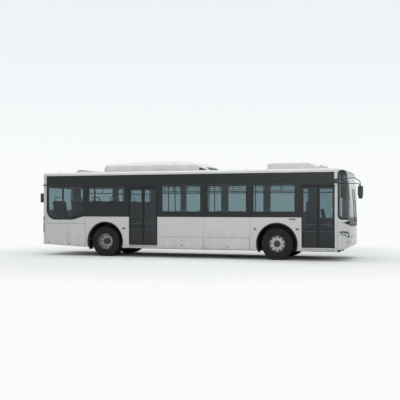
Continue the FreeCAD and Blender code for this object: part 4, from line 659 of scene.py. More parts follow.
def bead(ring, width, height, place, low=0.0):
    """A rounded moulding round an outline: half an ellipse, width across and height out, closed below."""
    turn = np.linspace(0, np.pi, 7)
    reach = np.append(np.cos(turn) * width / 2, width / 2)
    rise = np.append(np.sin(turn) * height, 0.0)
    along = ring[:, None, 0] + ring[:, None, 2] * reach
    up = ring[:, None, 1] + ring[:, None, 3] * reach
    return place(along, up, low + rise)


def tail_outline():
    """The rearmost pane's outline: round at its lower tail end, its sill rising forward in an easy curve."""
    left, right, low, high = tail_pane
    ring = round_corners(left, right, low, high, 0.03, 0.03, 0.330, 0.03)
    rise = np.clip((ring[:, 0] - (right - 0.520)) / 0.520, 0, 1)
    near_sill = np.clip(1 - (ring[:, 1] - low) / 0.25, 0, 1)
    ring[:, 1] += 0.118 * rise ** 1.4 * near_sill
    return ring


def vent_bars(left, right, high):
    """A sliding light's bars: each one's ends, bottom and top, corner radius, and how far it stands out."""
    middle = (left + right) / 2
    posts = [left + (right - left) * share for share in (0.33, 0.66)]
    return [
        (left + 0.02, right - 0.02, vent_bar - 0.016, vent_bar + 0.016, 0.004, 0.007),
        (left + 0.04, right - 0.04, vent_catch - 0.008, vent_catch + 0.008, 0.003, 0.005),
        *[(post - 0.010, post + 0.010, vent_bar, high - 0.04, 0.003, 0.005) for post in posts],
        (middle - 0.03, middle + 0.03, vent_bar + 0.018, vent_bar + 0.030, 0.004, 0.012),
    ]


ceramic = grained(
    "printed_black", (0.006, 0.0075, 0.0085), 0.22, 30.0, 0.18, 0.28, Specular_IOR_Level=0.4)
rubber_black = grained(
    "seal_rubber", (0.009, 0.0095, 0.010), 0.7, 180.0, 0.6, 0.8, 0.15, 0.0005, Specular_IOR_Level=0.3)
arch_post = arch_pane[0] + (arch_pane[1] - arch_pane[0]) * 0.40
# The low pane over the rear arch has one bar and one post; the tail pane's two sheets meet on a broad post
fixed_bars = [
    (arch_pane[0] + 0.02, arch_pane[1] - 0.02, 2.190, 2.216, 0.004, 0.006),
    (arch_post - 0.012, arch_post + 0.012, 2.205, arch_pane[3] - 0.04, 0.004, 0.006),
    (rear_axle - 1.700, rear_axle - 1.625, tail_pane[2] + 0.03, tail_pane[3] - 0.02, 0.004, 0.004),
]
for side, name in sides:
    wall = on_side(side)
    own_panes = left_only_panes if side > 0 else []
    outlines = [(tail_outline(), grown(tail_outline(), -border_width))]
    for left, right, low, high in tall_panes + [arch_pane] + own_panes:
        inner = round_corners(
            left + border_width, right - border_width, low + border_width, high - border_width,
            0.09, 0.09, 0.03, 0.03)
        outlines.append((round_corners(left, right, low, high, 0.02), inner))
    bars = [bar for left, right, low, high in tall_panes + own_panes for bar in vent_bars(left, right, high)]
    borders = [band(outer, inner, 0.0, 0.0008, wall) for outer, inner in outlines]
    beads = [bead(grown(outer, 0.002), 0.009, 0.0022, wall) for outer, inner in outlines]
    channels = [plate(round_corners(*bar[:5]), 0.0, bar[5], wall) for bar in bars + fixed_bars]
    mesh_piece(name + "_window_borders", borders, ceramic, 30)
    mesh_piece(name + "_window_seals", beads, rubber_black, 50)
    mesh_piece(name + "_vent_channels", channels, coated)

# Body trim: sealed joints between the sheets, the flaps' locks, the filler cap, the side markers' prismed
# lenses in black bezels, and the thin rubber strip along the roof's edge. All are pressed or screwed on.

rear_flap_top = 1.136
joint_places = (0.508, 2.114, -3.900)
joint_span = (0.322, belt_height - 0.006)
roof_joint_span = (2.828, 2.836)
lock_places = ((-5.370, 0.452), (-4.521, 0.426), (-0.283, 0.423), (1.356, 0.403))
filler_place = (2.285, 1.000)
# Each marker's middle, and half its length and height
amber_markers = ((3.515, 1.325, 0.105, 0.016), (3.685, 1.005, 0.050, 0.025))
red_marker = (-2.406, 0.984, 0.050, 0.020)
marker_corner = 0.008


def cells(made, scale, randomness=1.0, **settings):
    """Distances from a field of points on the object's own coordinates, in even rows if nothing is random."""
    sockets = {"Vector": on_object(made), "Scale": scale, "Randomness": randomness}
    return add(made, "TexVoronoi", sockets, **settings).outputs[0]


def prism_lens(name, colour):
    """A small moulded lens over its reflector, with square prisms."""
    made, shader = finish(name, colour, 0.15, Coat_Weight=0.6, Coat_Roughness=0.05)
    emboss(made, shader, cells(made, 160.0, distance="CHEBYCHEV"), 0.35, 0.001)
    return made


def flap_joint(wall):
    """The joint over the rear flaps: level, then a quarter circle up to the belt ahead of them, 6 mm wide."""
    turn = np.linspace(0, np.pi / 2, 9)
    curve = np.concatenate([
        np.stack([np.linspace(-5.45, -4.20, 12), np.full(12, rear_flap_top)], axis=1),
        np.stack([-4.20 + 0.27 * np.sin(turn), 1.24 - 0.104 * np.cos(turn)], axis=1),
    ])
    lower, upper = curve - (0, 0.003), curve + (0, 0.003)
    edges = ((lower, 0.0), (lower, 0.001), (upper, 0.001), (upper, 0.0), (lower, 0.0))
    return np.stack([wall(edge[:, 0], edge[:, 1], out) for edge, out in edges])


sealant = mottled("joint_sealant", 0.7, (0.24, 0.24, 0.235), (0.12, 0.118, 0.11), 9.0, (0.4, 0.7))
amber_lens = prism_lens("amber_lens", (0.30, 0.10, 0.02))
red_lens = prism_lens("red_marker", (0.22, 0.02, 0.02))
for side, name in sides:
    wall = on_side(side)
    joints = [
        plate(round_corners(x - 0.004, x + 0.004, *joint_span, 0.003), 0.0, 0.0012, wall)
        for x in joint_places
    ]
    locks = []
    for place in lock_places:
        locks.append(plate(centred(*place, 0.030, 0.017, 0.0169), 0.0, 0.004, wall))
        locks.append(plate(centred(*place, 0.010, 0.010, 0.0099), 0.004, 0.007, wall))
    filler_cap = plate(centred(*filler_place, 0.045, 0.045, 0.0449), 0.0, 0.006, wall, 0.004)
    ambers = [plate(centred(*marker, marker_corner), 0.003, 0.015, wall, 0.005) for marker in amber_markers]
    red = plate(centred(*red_marker, marker_corner), 0.003, 0.014, wall, 0.005)
    bezels = [
        plate(grown(centred(*marker, marker_corner), 0.006), 0.0, 0.005, wall)
        for marker in (*amber_markers, red_marker)
    ]
    roof_joint = plate(round_corners(-5.440, pillar_start, *roof_joint_span, 0.003), 0.0, 0.004, wall)
    mesh_piece(name + "_panel_joints", joints + [flap_joint(wall)], sealant)
    mesh_piece(name + "_flap_locks", locks, plastic)
    mesh_piece(name + "_filler_cap", [filler_cap], sealant)
    mesh_piece(name + "_amber_markers", ambers, amber_lens)
    mesh_piece(name + "_red_marker", [red], red_lens)
    mesh_piece(name + "_marker_bezels", bezels, plastic)
    mesh_piece(name + "_roof_joint", [roof_joint], rubber_black)

# Doors: black aluminium leaves glazed from top to bottom. Rubber fingers close the gap between the leaves and
# along their edges, a brush seals the head, and a pair of steel grab rails crosses each leaf inside. A header
# runs over each doorway and a bright threshold under it.

leaf_low, leaf_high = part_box("front_door_rear_leaf")
rail_heights = (1.150, 0.930)
rail_radius = 0.011
rail_stand_off = 0.035
doorways = ((mid_door_start, mid_door_end), (front_door_start, front_door_end))
# Each strip's margin at a doorway's ends, its bottom and top, its corner radius, and its back and face
threshold_strips = ((0.002, 0.352, 0.408, 0.006, 0.0, 0.005), (0.010, 0.372, 0.378, 0.002, 0.005, 0.008))
header_strips = ((-0.012, 2.372, 2.412, 0.004, 0.0, 0.010), (-0.012, 2.440, 2.446, 0.002, 0.0, 0.004))
on_leaf = on_plane(1, leaf_low.y, -1)


def brushed_aluminium():
    """Anodised aluminium, drawn lengthways along the bus."""
    made, shader = finish("brushed_aluminium", (0.36, 0.365, 0.36), 0.36, Metallic=0.6)
    grain = patches(made, 60.0, 3.0, (0.05, 1, 1))
    join(made, spread(made, grain, 0.3, 0.7, 0.28, 0.46), shader, "Roughness")
    return made


def tube(path, radius, sides=12):
    """A round bar along a path in an upright or level plane, its ends closed at the path's own ends.

    Each ring stands across the path's direction, found from its neighbours.
    """
    path = np.asarray(path, float)
    ahead = np.gradient(path, axis=0)
    ahead /= np.linalg.norm(ahead, axis=1, keepdims=True)
    flat_way = np.array([0.0, 1.0, 0.0]) if np.ptp(path[:, 1]) < 1e-6 else np.array([0.0, 0.0, 1.0])
    if np.abs(ahead @ flat_way).max() > 0.95:
        flat_way = np.array([1.0, 0.0, 0.0])
    first = np.cross(ahead, flat_way)
    first /= np.linalg.norm(first, axis=1, keepdims=True)
    second = np.cross(ahead, first)
    turn = np.linspace(0, 2 * np.pi, sides + 1)[:, None]
    grid = path[:, None] + radius * (first[:, None] * np.cos(turn) + second[:, None] * np.sin(turn))
    grid[:, -1] = grid[:, 0]
    ends = [np.repeat(path[[end]], sides + 1, axis=0)[None] for end in (0, -1)]
    return np.concatenate([ends[0], grid, ends[1]])


def bent_rail(points, bend, steps=6):
    """A path of straight runs whose corners are eased by a quadratic curve between points a bend away."""
    points = np.asarray(points, float)
    route = [points[:1]]
    for before, corner, after in zip(points, points[1:], points[2:]):
        start = corner + (before - corner) / np.linalg.norm(before - corner) * bend
        end = corner + (after - corner) / np.linalg.norm(after - corner) * bend
        t = np.linspace(0, 1, steps + 1)[:, None]
        route.append((1 - t) ** 2 * start + 2 * t * (1 - t) * corner + t ** 2 * end)
    route.append(points[-1:])
    return np.concatenate(route)


for name in door_names:
    low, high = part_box(name)
    start, end = low.x, high.x
    leading = 1 if "rear_leaf" in name else -1
    meeting, trailing = (end, start) if leading > 0 else (start, end)
    fingers = []
    for edge_x, way, reach in ((meeting, leading, 0.0045), (trailing, -leading, 0.006)):
        span = sorted((edge_x - way * 0.014, edge_x + way * reach))
        finger = round_corners(*span, low.z + 0.01, high.z - 0.01, 0.002)
        fingers.append(plate(finger, -0.012, 0.003, on_leaf))
    head_brush = round_corners(start + 0.02, end - 0.02, high.z - 0.012, high.z + 0.003, 0.002)
    foot_brush = round_corners(start + 0.01, end - 0.01, low.z - 0.004, low.z + 0.020, 0.002)
    fingers.append(plate(head_brush, -0.010, 0.004, on_leaf))
    fingers.append(plate(foot_brush, -0.010, 0.003, on_leaf))
    outer = round_corners(start + 0.020, end - 0.020, low.z + 0.020, high.z - 0.020, 0.02)
    inner = round_corners(start + 0.058, end - 0.058, low.z + 0.110, high.z - 0.075, 0.03)
    left, right = start + 0.075, end - 0.075
    foot_y, inside_y = leaf_high.y, leaf_high.y + rail_stand_off
    bends = ((left, foot_y), (left, inside_y), (right, inside_y), (right, foot_y))
    rails = [
        tube(bent_rail([(x, y, rail_z) for x, y in bends], 0.02), rail_radius) for rail_z in rail_heights
    ]
    mesh_piece(name + "_seals", fingers, rubber_black, body=name)
    mesh_piece(name + "_border", [band(outer, inner, 0.0, 0.0008, on_leaf)], ceramic, 30, name)
    mesh_piece(name + "_rails", rails, plated, 50, name)

thresholds, headers = [
    [
        plate(round_corners(start + margin, end - margin, low, high, radius), back, face, on_side(-1))
        for start, end in doorways
        for margin, low, high, radius, back, face in strips
    ]
    for strips in (threshold_strips, header_strips)
]
mesh_piece("door_thresholds", thresholds, brushed_aluminium())
mesh_piece("door_headers", headers, rubber_black)

# Front end: a moulded mask with the windscreen bonded over it. Its skin is the smaller of two forms, a plan
# of a broad arc with tight corners and a side view of arcs. What lies on it is placed by its distance round
# the plan and its height.

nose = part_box("front_mask")[1].x
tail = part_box("rear_mask")[0].x
roof_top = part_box("roof_shell")[1].z
nose_corner = 0.350
nose_lean = math.radians(9.7)
# Three arcs of the side view, each by three points: how far behind the tip, and how high
nose_arcs = (
    ((0.057, 0.525), (0.014, 0.740), (0.000, 1.000)),
    ((0.000, 1.000), (0.050, 1.930), (0.137, roof_top - 0.265)),
    ((0.137, roof_top - 0.265), (0.172, roof_top - 0.138), (0.290, roof_top - 0.060)),
)
screen_reach = 1.4355
screen_sill = 1.325
screen_head = 2.880
screen_radii = (0.100, 0.100, 0.130, 0.130)
print_reach = screen_reach - 0.045
print_low = screen_sill + 0.060
print_high = screen_head - 0.075
print_radius = 0.120
mask_seam_height = 0.792
cowl_tip = np.array([
    (0.86, 1.140), (1.05, 1.160), (1.245, 1.222), (1.225, 1.240), (1.10, 1.262), (1.01, 1.300), (0.86, 1.322),
])
fog_lamp_height = 0.610
fog_lamp_places = (-1.090, -0.862, 0.862, 1.090)
# The radii of a fog lamp's rim, seat, bowl and lens
fog_lamp_radii = (0.040, 0.039, 0.026, 0.036)


def arc_back(points, up):
    """How far behind the tip a side-view arc lies at a height, on the circle through three points."""
    (x1, z1), (x2, z2), (x3, z3) = [(-back, height) for back, height in points]
    rows = np.array([[x2 - x1, z2 - z1], [x3 - x1, z3 - z1]])
    sums = np.array([x2 ** 2 - x1 ** 2 + z2 ** 2 - z1 ** 2, x3 ** 2 - x1 ** 2 + z3 ** 2 - z1 ** 2]) / 2
    centre_x, centre_z = np.linalg.solve(rows, sums)
    radius = math.hypot(x1 - centre_x, z1 - centre_z)
    return -(centre_x + np.sqrt(np.maximum(radius ** 2 - (up - centre_z) ** 2, 0)))


def nose_back(up):
    """The side view of the nose: how far behind the tip it lies at each height."""
    low, middle, high = (arc_back(points, up) for points in nose_arcs)
    return np.where(up < nose_arcs[0][2][1], low, np.where(up < nose_arcs[1][2][1], middle, high))


def end_skin(tip, forward, corner, lean_limit, back_at):
    """Places on a rounded end of the body, by distance round its plan, height, and distance out of the skin.

    The plan leans by distance / sweep on the broad arc, then by distance / corner on the corner's arc.
    """
    half = wall_face
    sweep = (half - corner + corner * math.sin(lean_limit)) / math.sin(lean_limit)
    corner_start = sweep * lean_limit
    corner_x = sweep - (sweep - corner) * math.cos(lean_limit)

    def place(along, up, out):
        along, up, out = np.broadcast_arrays(np.asarray(along, float), up, out)
        distance = np.abs(along)
        broad = distance < corner_start
        lean = np.where(broad, distance / sweep, lean_limit + (distance - corner_start) / corner)
        past = np.maximum(lean - np.pi / 2, 0) * corner
        lean = np.minimum(lean, np.pi / 2)
        radius = np.where(broad, sweep, corner) + out
        back = np.where(broad, sweep, corner_x) - radius * np.cos(lean) + past
        across = np.where(broad, 0.0, half - corner) + radius * np.sin(lean)
        back = np.maximum(back, back_at(up) - out)
        return np.stack([tip - forward * back, np.sign(along) * across, up], axis=-1)
    return place


def poled(grid):
    """A grid whose first and last rows are closed, each at the middle of its points."""
    ends = [np.repeat(grid[[end]].mean(axis=1, keepdims=True), grid.shape[1], axis=1) for end in (0, -1)]
    return np.concatenate([ends[0], grid, ends[1]])


def ribbon(along, up, width, height, place):
    """A thin flat strip along a path of two coordinates, closed round its four edges and at its ends."""
    path = np.stack(np.broadcast_arrays(along, up), axis=1)
    ahead = np.gradient(path, axis=0)
    ahead /= np.linalg.norm(ahead, axis=1, keepdims=True)
    normal = np.stack([-ahead[:, 1], ahead[:, 0]], axis=1)
    left, right = path + normal * width / 2, path - normal * width / 2
    edges = ((left, 0.0), (left, height), (right, height), (right, 0.0), (left, 0.0))
    return poled(np.stack([place(edge[:, 0], edge[:, 1], out) for edge, out in edges], axis=1))


def steps_along(ring, step):
    """Distances round an outline: those of its own points, and more between them at every step."""
    length = np.concatenate([[0], np.cumsum(np.linalg.norm(np.diff(ring[:, :2], axis=0), axis=1))])
    return length, np.union1d(length, np.arange(0, length[-1], step))


def fine(ring, step=0.025):
    """An outline with points added along its straight runs, so that it can follow a curved skin."""
    length, wanted = steps_along(ring, step)
    dense = np.stack([np.interp(wanted, length, column) for column in ring.T], axis=1)
    dense[:, 2:] /= np.linalg.norm(dense[:, 2:], axis=1, keepdims=True)
    return dense


def with_normals(points):
    """A closed outline's points, anticlockwise, with the outward normal at each."""
    ahead = np.roll(points, -1, axis=0) - np.roll(points, 1, axis=0)
    ahead /= np.linalg.norm(ahead, axis=1, keepdims=True)
    ring = np.concatenate([points, np.stack([ahead[:, 1], -ahead[:, 0]], axis=1)], axis=1)
    return np.concatenate([ring, ring[:1]])


def on_either_side(points, way):
    """An outline drawn on the left, or its mirror image on the right, with its normals."""
    points = points * (way, 1)
    return with_normals(points if way > 0 else points[::-1])


def cover(ring, low, high, place, edge=0.002, rows=6):
    """A filled outline on a curved skin: rings from its middle outwards, then its edge and its back."""
    middle = ring[:, :2].mean(axis=0)
    inset = grown(ring, -edge)
    face = [place(*(middle + (inset[:, :2] - middle) * share).T, high) for share in np.linspace(0, 1, rows)]
    back = [place(*(middle + (ring[:, :2] - middle) * share).T, low) for share in np.linspace(1, 0, rows)]
    return np.stack(face + [place(ring[:, 0], ring[:, 1], high - edge)] + back)


def print_border(outer, inner, out, place, rows=5):
    """A printed border between two like outlines, divided at the same shares and carried along the skin."""
    length, wanted = steps_along(outer, 0.025)
    outer, inner = [
        np.stack([np.interp(wanted, length, column) for column in ring.T[:2]], axis=1)
        for ring in (outer, inner)
    ]
    steps = [outer + (inner - outer) * share for share in np.linspace(0, 1, rows)]
    face = [place(step[:, 0], step[:, 1], out) for step in steps]
    back = [place(step[:, 0], step[:, 1], out - 0.0008) for step in reversed(steps)]
    return np.stack(face + back + face[:1])


def disc_ring(along, up, radius, count=28):
    """A circle's outline, with its outward normals."""
    turn = np.linspace(0, 2 * np.pi, count + 1)
    normal = np.stack([np.cos(turn), np.sin(turn)], axis=1)
    ring = np.concatenate([(along, up) + radius * normal, normal], axis=1)
    ring[-1] = ring[0]
    return ring


on_nose = end_skin(nose, 1, nose_corner, nose_lean, nose_back)
screen_outline = round_corners(-screen_reach, screen_reach, screen_sill, screen_head, *screen_radii)
screen_print = round_corners(-print_reach, print_reach, print_low, print_high, print_radius)
screen_seal = bead(grown(fine(screen_outline), 0.002), 0.010, 0.004, on_nose)
mesh_piece("windscreen_border", [print_border(screen_outline, screen_print, 0.0014, on_nose)],
           ceramic, 30)
mesh_piece("windscreen_seal", [screen_seal], rubber_black, 50)
nose_joints = [ribbon(np.linspace(-1.00, 1.00, 80), mask_seam_height, 0.010, 0.001, on_nose)]
cowl_edges = [ribbon(np.linspace(-0.88, 0.88, 60), 1.130, 0.036, 0.009, on_nose)]
for way in (-1, 1):
    drop = np.linspace(0, 1, 24)
    nose_joints.append(ribbon(way * (1.44 - 0.36 * drop), 1.235 - 0.075 * drop ** 2, 0.006, 0.001, on_nose))
    cowl_edges.append(cover(fine(on_either_side(cowl_tip, way)), -0.001, 0.0045, on_nose, 0.003, 5))
mesh_piece("mask_joints", nose_joints, sealant)
mesh_piece("cowl_edge", cowl_edges, rubber_black)
clear_cover = tinted_glass("clear_plastic", (0.93, 0.94, 0.95))
chrome = grained("bright_bowl", (0.80, 0.81, 0.82), 0.12, 80.0, 0.08, 0.18, Metallic=1.0)
fog_rims, fog_lenses, fog_bowls = [], [], []
for along in fog_lamp_places:
    rim, seat, bowl, lens = (disc_ring(along, fog_lamp_height, radius) for radius in fog_lamp_radii)
    fog_rims.append(bead(rim, 0.010, 0.006, on_nose))
    fog_rims.append(cover(seat, -0.002, 0.001, on_nose, 0.001, 3))
    fog_bowls.append(cover(bowl, 0.001, 0.003, on_nose, 0.002, 4))
    fog_lenses.append(cover(lens, 0.0035, 0.007, on_nose, 0.003, 4))
mesh_piece("fog_lamp_rims", fog_rims, plastic, smooth=50)
mesh_piece("fog_lamp_bowls", fog_bowls, chrome, 50)
mesh_piece("fog_lamp_lenses", fog_lenses, clear_cover, 50)

# Headlamps: a swept lens of clear plastic round each corner, over a black tray with three bright bowls.
# Inwards of it the lamp's housing is closed by a panel in the body's paint, flush with the mask.

panel_inner = 0.610
panel_tip = 1.385
lamp_corners = np.array([
    (1.035, 0.735), (1.100, 0.768), (1.180, 0.815), (1.260, 0.862), (1.330, 0.902),
    (1.392, 0.941), (1.330, 0.946), (1.240, 0.946), (1.160, 0.940), (1.100, 0.922),
    (1.045, 0.884), (1.006, 0.838), (1.002, 0.795), (1.012, 0.755),
])
lamp_bowls = ((1.105, 0.838, 0.038), (1.192, 0.872, 0.030), (1.265, 0.898, 0.020))


def almond():
    """The housing's outline, u running from its inner end to its tip.

    Its lower edge is 0.752 - 0.012 sin(pi u) + 0.193 u^6, and its upper one 0.80 + 0.145 sin(pi/2 u^0.67).
    """
    u = np.linspace(0, 1, 26)
    along = panel_inner + (panel_tip - panel_inner) * u
    lower = 0.752 - 0.012 * np.sin(np.pi * u) + 0.193 * u ** 6
    upper = 0.800 + 0.145 * np.sin(np.pi / 2 * u ** 0.67)
    return np.concatenate([np.stack([along, lower], axis=1)[:-1], np.stack([along, upper], axis=1)[::-1]])


def eased(points, rounds=3):
    """An outline with its corners cut: each round puts points a quarter in from both ends of a side."""
    for _ in range(rounds):
        following = np.roll(points, -1, axis=0)
        near, far = 0.75 * points + 0.25 * following, 0.25 * points + 0.75 * following
        points = np.stack([near, far], axis=1).reshape(-1, 2)
    return points


panels, trays, bowls, covers = [], [], [], []
for way in (-1, 1):
    ring = on_either_side(eased(lamp_corners), way)
    panels.append(cover(on_either_side(almond(), way), -0.036, 0.0006, on_nose, 0.0004, 8))
    trays.append(cover(ring, -0.002, 0.0020, on_nose, 0.001, 8))
    trays.append(bead(ring, 0.012, 0.0095, on_nose))
    covers.append(cover(grown(ring, -0.004), 0.0068, 0.0085, on_nose, 0.001, 8))
    for along, up, radius in lamp_bowls:
        bowl = disc_ring(way * along, up, radius)
        bowls.append(bead(bowl, 0.007, 0.0035, on_nose, 0.0018))
        bowls.append(cover(grown(bowl, -0.006), 0.0018, 0.0055, on_nose, 0.004, 5))
lamp_panels = mesh_piece("headlamp_panels", panels, coach_paint, 30)
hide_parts("headlamps")
mesh_piece("headlamp_trays", trays, plastic)
mesh_piece("headlamp_bowls", bowls, chrome)
mesh_piece("headlamp_covers", covers, clear_cover)

# Display and mirrors: a black case behind the top of the windscreen holds a switched-off display, dark and
# blank. Silvered plates are set in the back of each mirror head.

mirror_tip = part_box("mirrors")[1].x
pillar_place = nose - 0.422 - 0.050
# Each mirror plate's plane, its sides across the bus, its bottom and its top
mirror_plates = (
    (mirror_tip - 0.150, -1.395, -1.205, 2.135, 2.355),
    (pillar_place + 0.157, -1.390, -1.290, 2.060, 2.370),
    (pillar_place - 0.060, 1.290, 1.390, 2.060, 2.370),
)
case_outline = round_corners(-0.86, 0.86, 2.600, 2.850, 0.015)
display_outline = round_corners(-0.80, 0.80, 2.635, 2.815, 0.008)
behind_screen = on_plane(0, nose - 0.330, 1)


def dark_display():
    """A switched-off display: near-black glass over a fine grid of cells."""
    made, shader = finish("dark_display", (0.012, 0.011, 0.010), 0.25)
    unlit = spread(made, cells(made, 90.0, 0.0), 0.2, 0.35)
    join(made, blend_colours(made, unlit, (0.030, 0.024, 0.012), (0.010, 0.010, 0.011)), shader, "Base Color")
    return made


silvered = grained("silvered_glass", (0.80, 0.82, 0.83), 0.04, 20.0, 0.02, 0.08, Metallic=1.0)
case = plate(case_outline, -0.140, 0.0, behind_screen, 0.006)
display = plate(display_outline, 0.0, 0.003, behind_screen)
silver_plates = [
    plate(round_corners(*edges, 0.025), -0.002, 0.0025, on_plane(0, plane_x, -1), 0.0015)
    for plane_x, *edges in mirror_plates
]
mesh_piece("display_case", [case], plastic)
mesh_piece("display_face", [display], dark_display())
mesh_piece("mirror_glass", silver_plates, silvered)

# Rear end: a moulded mask round the engine hatch. The black housing on each side carries two red lenses with
# moulded rings, and the rear pane has a printed border. The hatch carries a blank plate under a hooded light,
# two quarter-turn locks and a pull.

# The side view of the tail: heights, and how far ahead of the rearmost plane it lies at each
tail_heights = (0.390, 0.414, 0.480, 1.400, 2.780, 2.918, 2.980)
tail_steps = (0.090, 0.024, 0.0, 0.0, 0.016, 0.076, 0.260)
lamp_spans = ((1.098, 1.272, 0.825, 1.175), (1.098, 1.272, 1.235, 1.395))
lamp_ring_heights = (0.885, 1.000, 1.115, 1.315)
rear_pane_outline = round_corners(-1.0, 1.0, 1.560, 2.480, 0.09)
rear_pane_print = round_corners(-0.945, 0.945, 1.620, 2.425, 0.08)
number_plate = fine(round_corners(-0.260, 0.260, 0.935, 1.045, 0.008))
hood = fine(round_corners(-0.180, 0.180, 1.070, 1.105, 0.012))
pull = fine(round_corners(-0.09, 0.09, 0.592, 0.618, 0.010))
lock_reach = 0.70
lock_height = 0.620
# Each one's near and far edge from the middle, its bottom, its top and its corner radius
reflector_edges = (0.93, 1.05, 0.458, 0.498, 0.008)
marker_edges = (0.80, 0.90, 2.640, 2.668, 0.010)
level_joints = (0.520, 2.560)


def tail_back(up):
    """How far ahead of the rearmost plane the tail's skin lies at a height."""
    return np.interp(up, tail_heights, tail_steps)


def waves(made, scale, way):
    """Waves along one direction of the object's own coordinates."""
    sockets = {"Vector": on_object(made), "Scale": scale}
    return add(made, "TexWave", sockets, bands_direction=way).outputs[1]


def fluted(name, colour, roughness, scale, way, strength, depth, **sockets):
    """A moulded lens with fine flutes side by side in one direction."""
    made, shader = finish(name, colour, roughness, **sockets)
    emboss(made, shader, waves(made, scale, way), strength, depth)
    return made


def one_side(way, near, far, low, high, radius, step=0.025):
    """A round-cornered outline between two distances from the middle, on the left or on the right."""
    return fine(round_corners(*sorted((way * near, way * far)), low, high, radius), step)


on_tail = end_skin(tail, -1, 0.150, math.radians(3.0), tail_back)
lenses, bezels, rings, reflectors, markers = [], [], [], [], []
tail_joints = [ribbon(np.linspace(-1.30, 1.30, 90), height, 0.006, 0.001, on_tail) for height in level_joints]
fittings = [cover(hood, 0.0, 0.028, on_tail, 0.010, 5)]
for way in (-1, 1):
    for near, far, low, high in lamp_spans:
        ring = one_side(way, near, far, low, high, 0.018, 0.02)
        lenses.append(cover(ring, 0.0005, 0.013, on_tail, 0.005, 8))
        bezels.append(bead(grown(ring, 0.004), 0.012, 0.006, on_tail))
    for height in lamp_ring_heights:
        rings.append(bead(disc_ring(way * 1.185, height, 0.040, 24), 0.006, 0.0025, on_tail, 0.0128))
    reflectors.append(cover(one_side(way, *reflector_edges), 0.0, 0.010, on_tail, 0.003, 3))
    markers.append(cover(one_side(way, *marker_edges), 0.0, 0.012, on_tail, 0.004, 3))
    tail_joints.append(ribbon(way * 1.045, np.linspace(0.53, 1.54, 40), 0.005, 0.001, on_tail))
    lock_slot = fine(centred(way * lock_reach, lock_height, 0.004, 0.014, 0.0039))
    fittings.append(cover(disc_ring(way * lock_reach, lock_height, 0.020, 20), 0.0, 0.006, on_tail, 0.003, 3))
    fittings.append(cover(lock_slot, 0.006, 0.010, on_tail, 0.001, 3))
fittings.append(cover(pull, 0.0, 0.018, on_tail, 0.007, 4))
red_plastic = fluted(
    "red_lens", (0.17, 0.045, 0.050), 0.12, 18.0, "Y", 0.3, 0.002, Coat_Weight=1.0, Coat_Roughness=0.03)
plate_frame = bead(number_plate, 0.012, 0.010, on_tail)
plate_face = cover(number_plate, -0.001, 0.003, on_tail, 0.001)
mesh_piece("rear_lamp_lenses", lenses, red_plastic)
mesh_piece("rear_lamp_bezels", bezels, plastic)
mesh_piece("rear_lamp_rings", rings, red_lens, 50)
mesh_piece("rear_pane_border", [print_border(rear_pane_outline, rear_pane_print, 0.0012, on_tail, 3)],
           ceramic, 30)
mesh_piece("rear_pane_seal", [bead(grown(fine(rear_pane_outline), 0.003), 0.012, 0.004, on_tail)],
           rubber_black, 50)
mesh_piece("rear_joints", tail_joints, sealant)
mesh_piece("rear_reflectors", reflectors + markers, red_lens)
blank_plate = grained("blank_plate", (0.62, 0.62, 0.60), 0.4, 50.0, 0.3, 0.5)
mesh_piece("rear_plate_frame", [plate_frame], plastic, smooth=50, body="engine_hatch")
mesh_piece("rear_plate", [plate_face], blank_plate, 30, "engine_hatch")
mesh_piece("hatch_fittings", fittings, plastic, body="engine_hatch")

# Roof units: one-piece glass-fibre covers with rounded shoulders, sloped at the front where the air comes in
# through a dark grille, screwed down on a grey foot. The crown of the cooler carries three fans.

cooler_start, cooler_end, cooler_half = rear_axle - 0.275, rear_axle + 3.660, 0.880
crown_start, crown_end, crown_half = rear_axle + 0.620, rear_axle + 3.190, 0.560
inlet_start, inlet_end, inlet_half = front_axle - 0.450, front_axle + 1.147, 0.700
base_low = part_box("aircon_pod")[0].z
base_high = roof_top + 0.290
crown_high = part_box("aircon_pod")[1].z
inlet_low, inlet_high = (corner.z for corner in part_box("front_roof_pod"))
slope_run = 0.55
fan_places = (rear_axle + 0.980, rear_axle + 1.640, rear_axle + 2.300)


def front_share(back, run):
    """How high a cover's sloped front stands at a distance behind its tip: 0.1 + 0.9 (1 - (1 - u)^1.7)."""
    return 0.10 + 0.90 * (1 - (1 - np.clip(back / run, 0, 1)) ** 1.7)


def lid(start, end, half, low, high, run, shoulder, corner, rows=30):
    """A cover's skin: rings drawn in from its outline over a round shoulder, then across its top.

    A ring inset by d stands at low + (high - low - shoulder + sqrt(shoulder^2 - (shoulder - d)^2)), all of it
    lowered towards the forward end by front_share and eased down a little at the rear.
    """
    ring = fine(round_corners(start, end, -half, half, corner), 0.06)
    wall_height = high - low - shoulder

    def raised(points, level):
        near_rear = 1 - np.clip((points[:, 0] - start) / 0.30, 0, 1)
        rear = 1 - 0.10 * near_rear ** 2.5
        front = front_share(end - points[:, 0], run)
        return np.stack([points[:, 0], points[:, 1], low + level * front * rear], axis=-1)
    foot = np.stack([ring[:, 0], ring[:, 1], np.full(len(ring), low)], axis=-1)
    rings = [np.broadcast_to(foot.mean(axis=0), foot.shape), foot]
    rings += [raised(ring[:, :2], 0.18 * wall_height), raised(ring[:, :2], wall_height)]
    for turn in np.linspace(0, np.pi / 2, 7)[1:]:
        inset = grown(ring, -shoulder * (1 - math.cos(turn)))
        rings.append(raised(inset[:, :2], wall_height + shoulder * math.sin(turn)))
    inset = grown(ring, -shoulder)[:, :2]
    middle = np.array([(start + end) / 2, 0.0])
    for share in np.linspace(1, 0, rows)[1:]:
        rings.append(raised(middle + (inset - middle) * share, high - low))
    return np.stack(rings)


def on_slope(back, across, up):
    """Places on the cooler's sloped front: how far behind its tip, across, and up from its skin."""
    back, across, up = np.broadcast_arrays(back, across, up)
    rise = (base_high - base_low) * front_share(back, slope_run)
    return np.stack([cooler_end - back, across, base_low + rise + up], axis=-1)


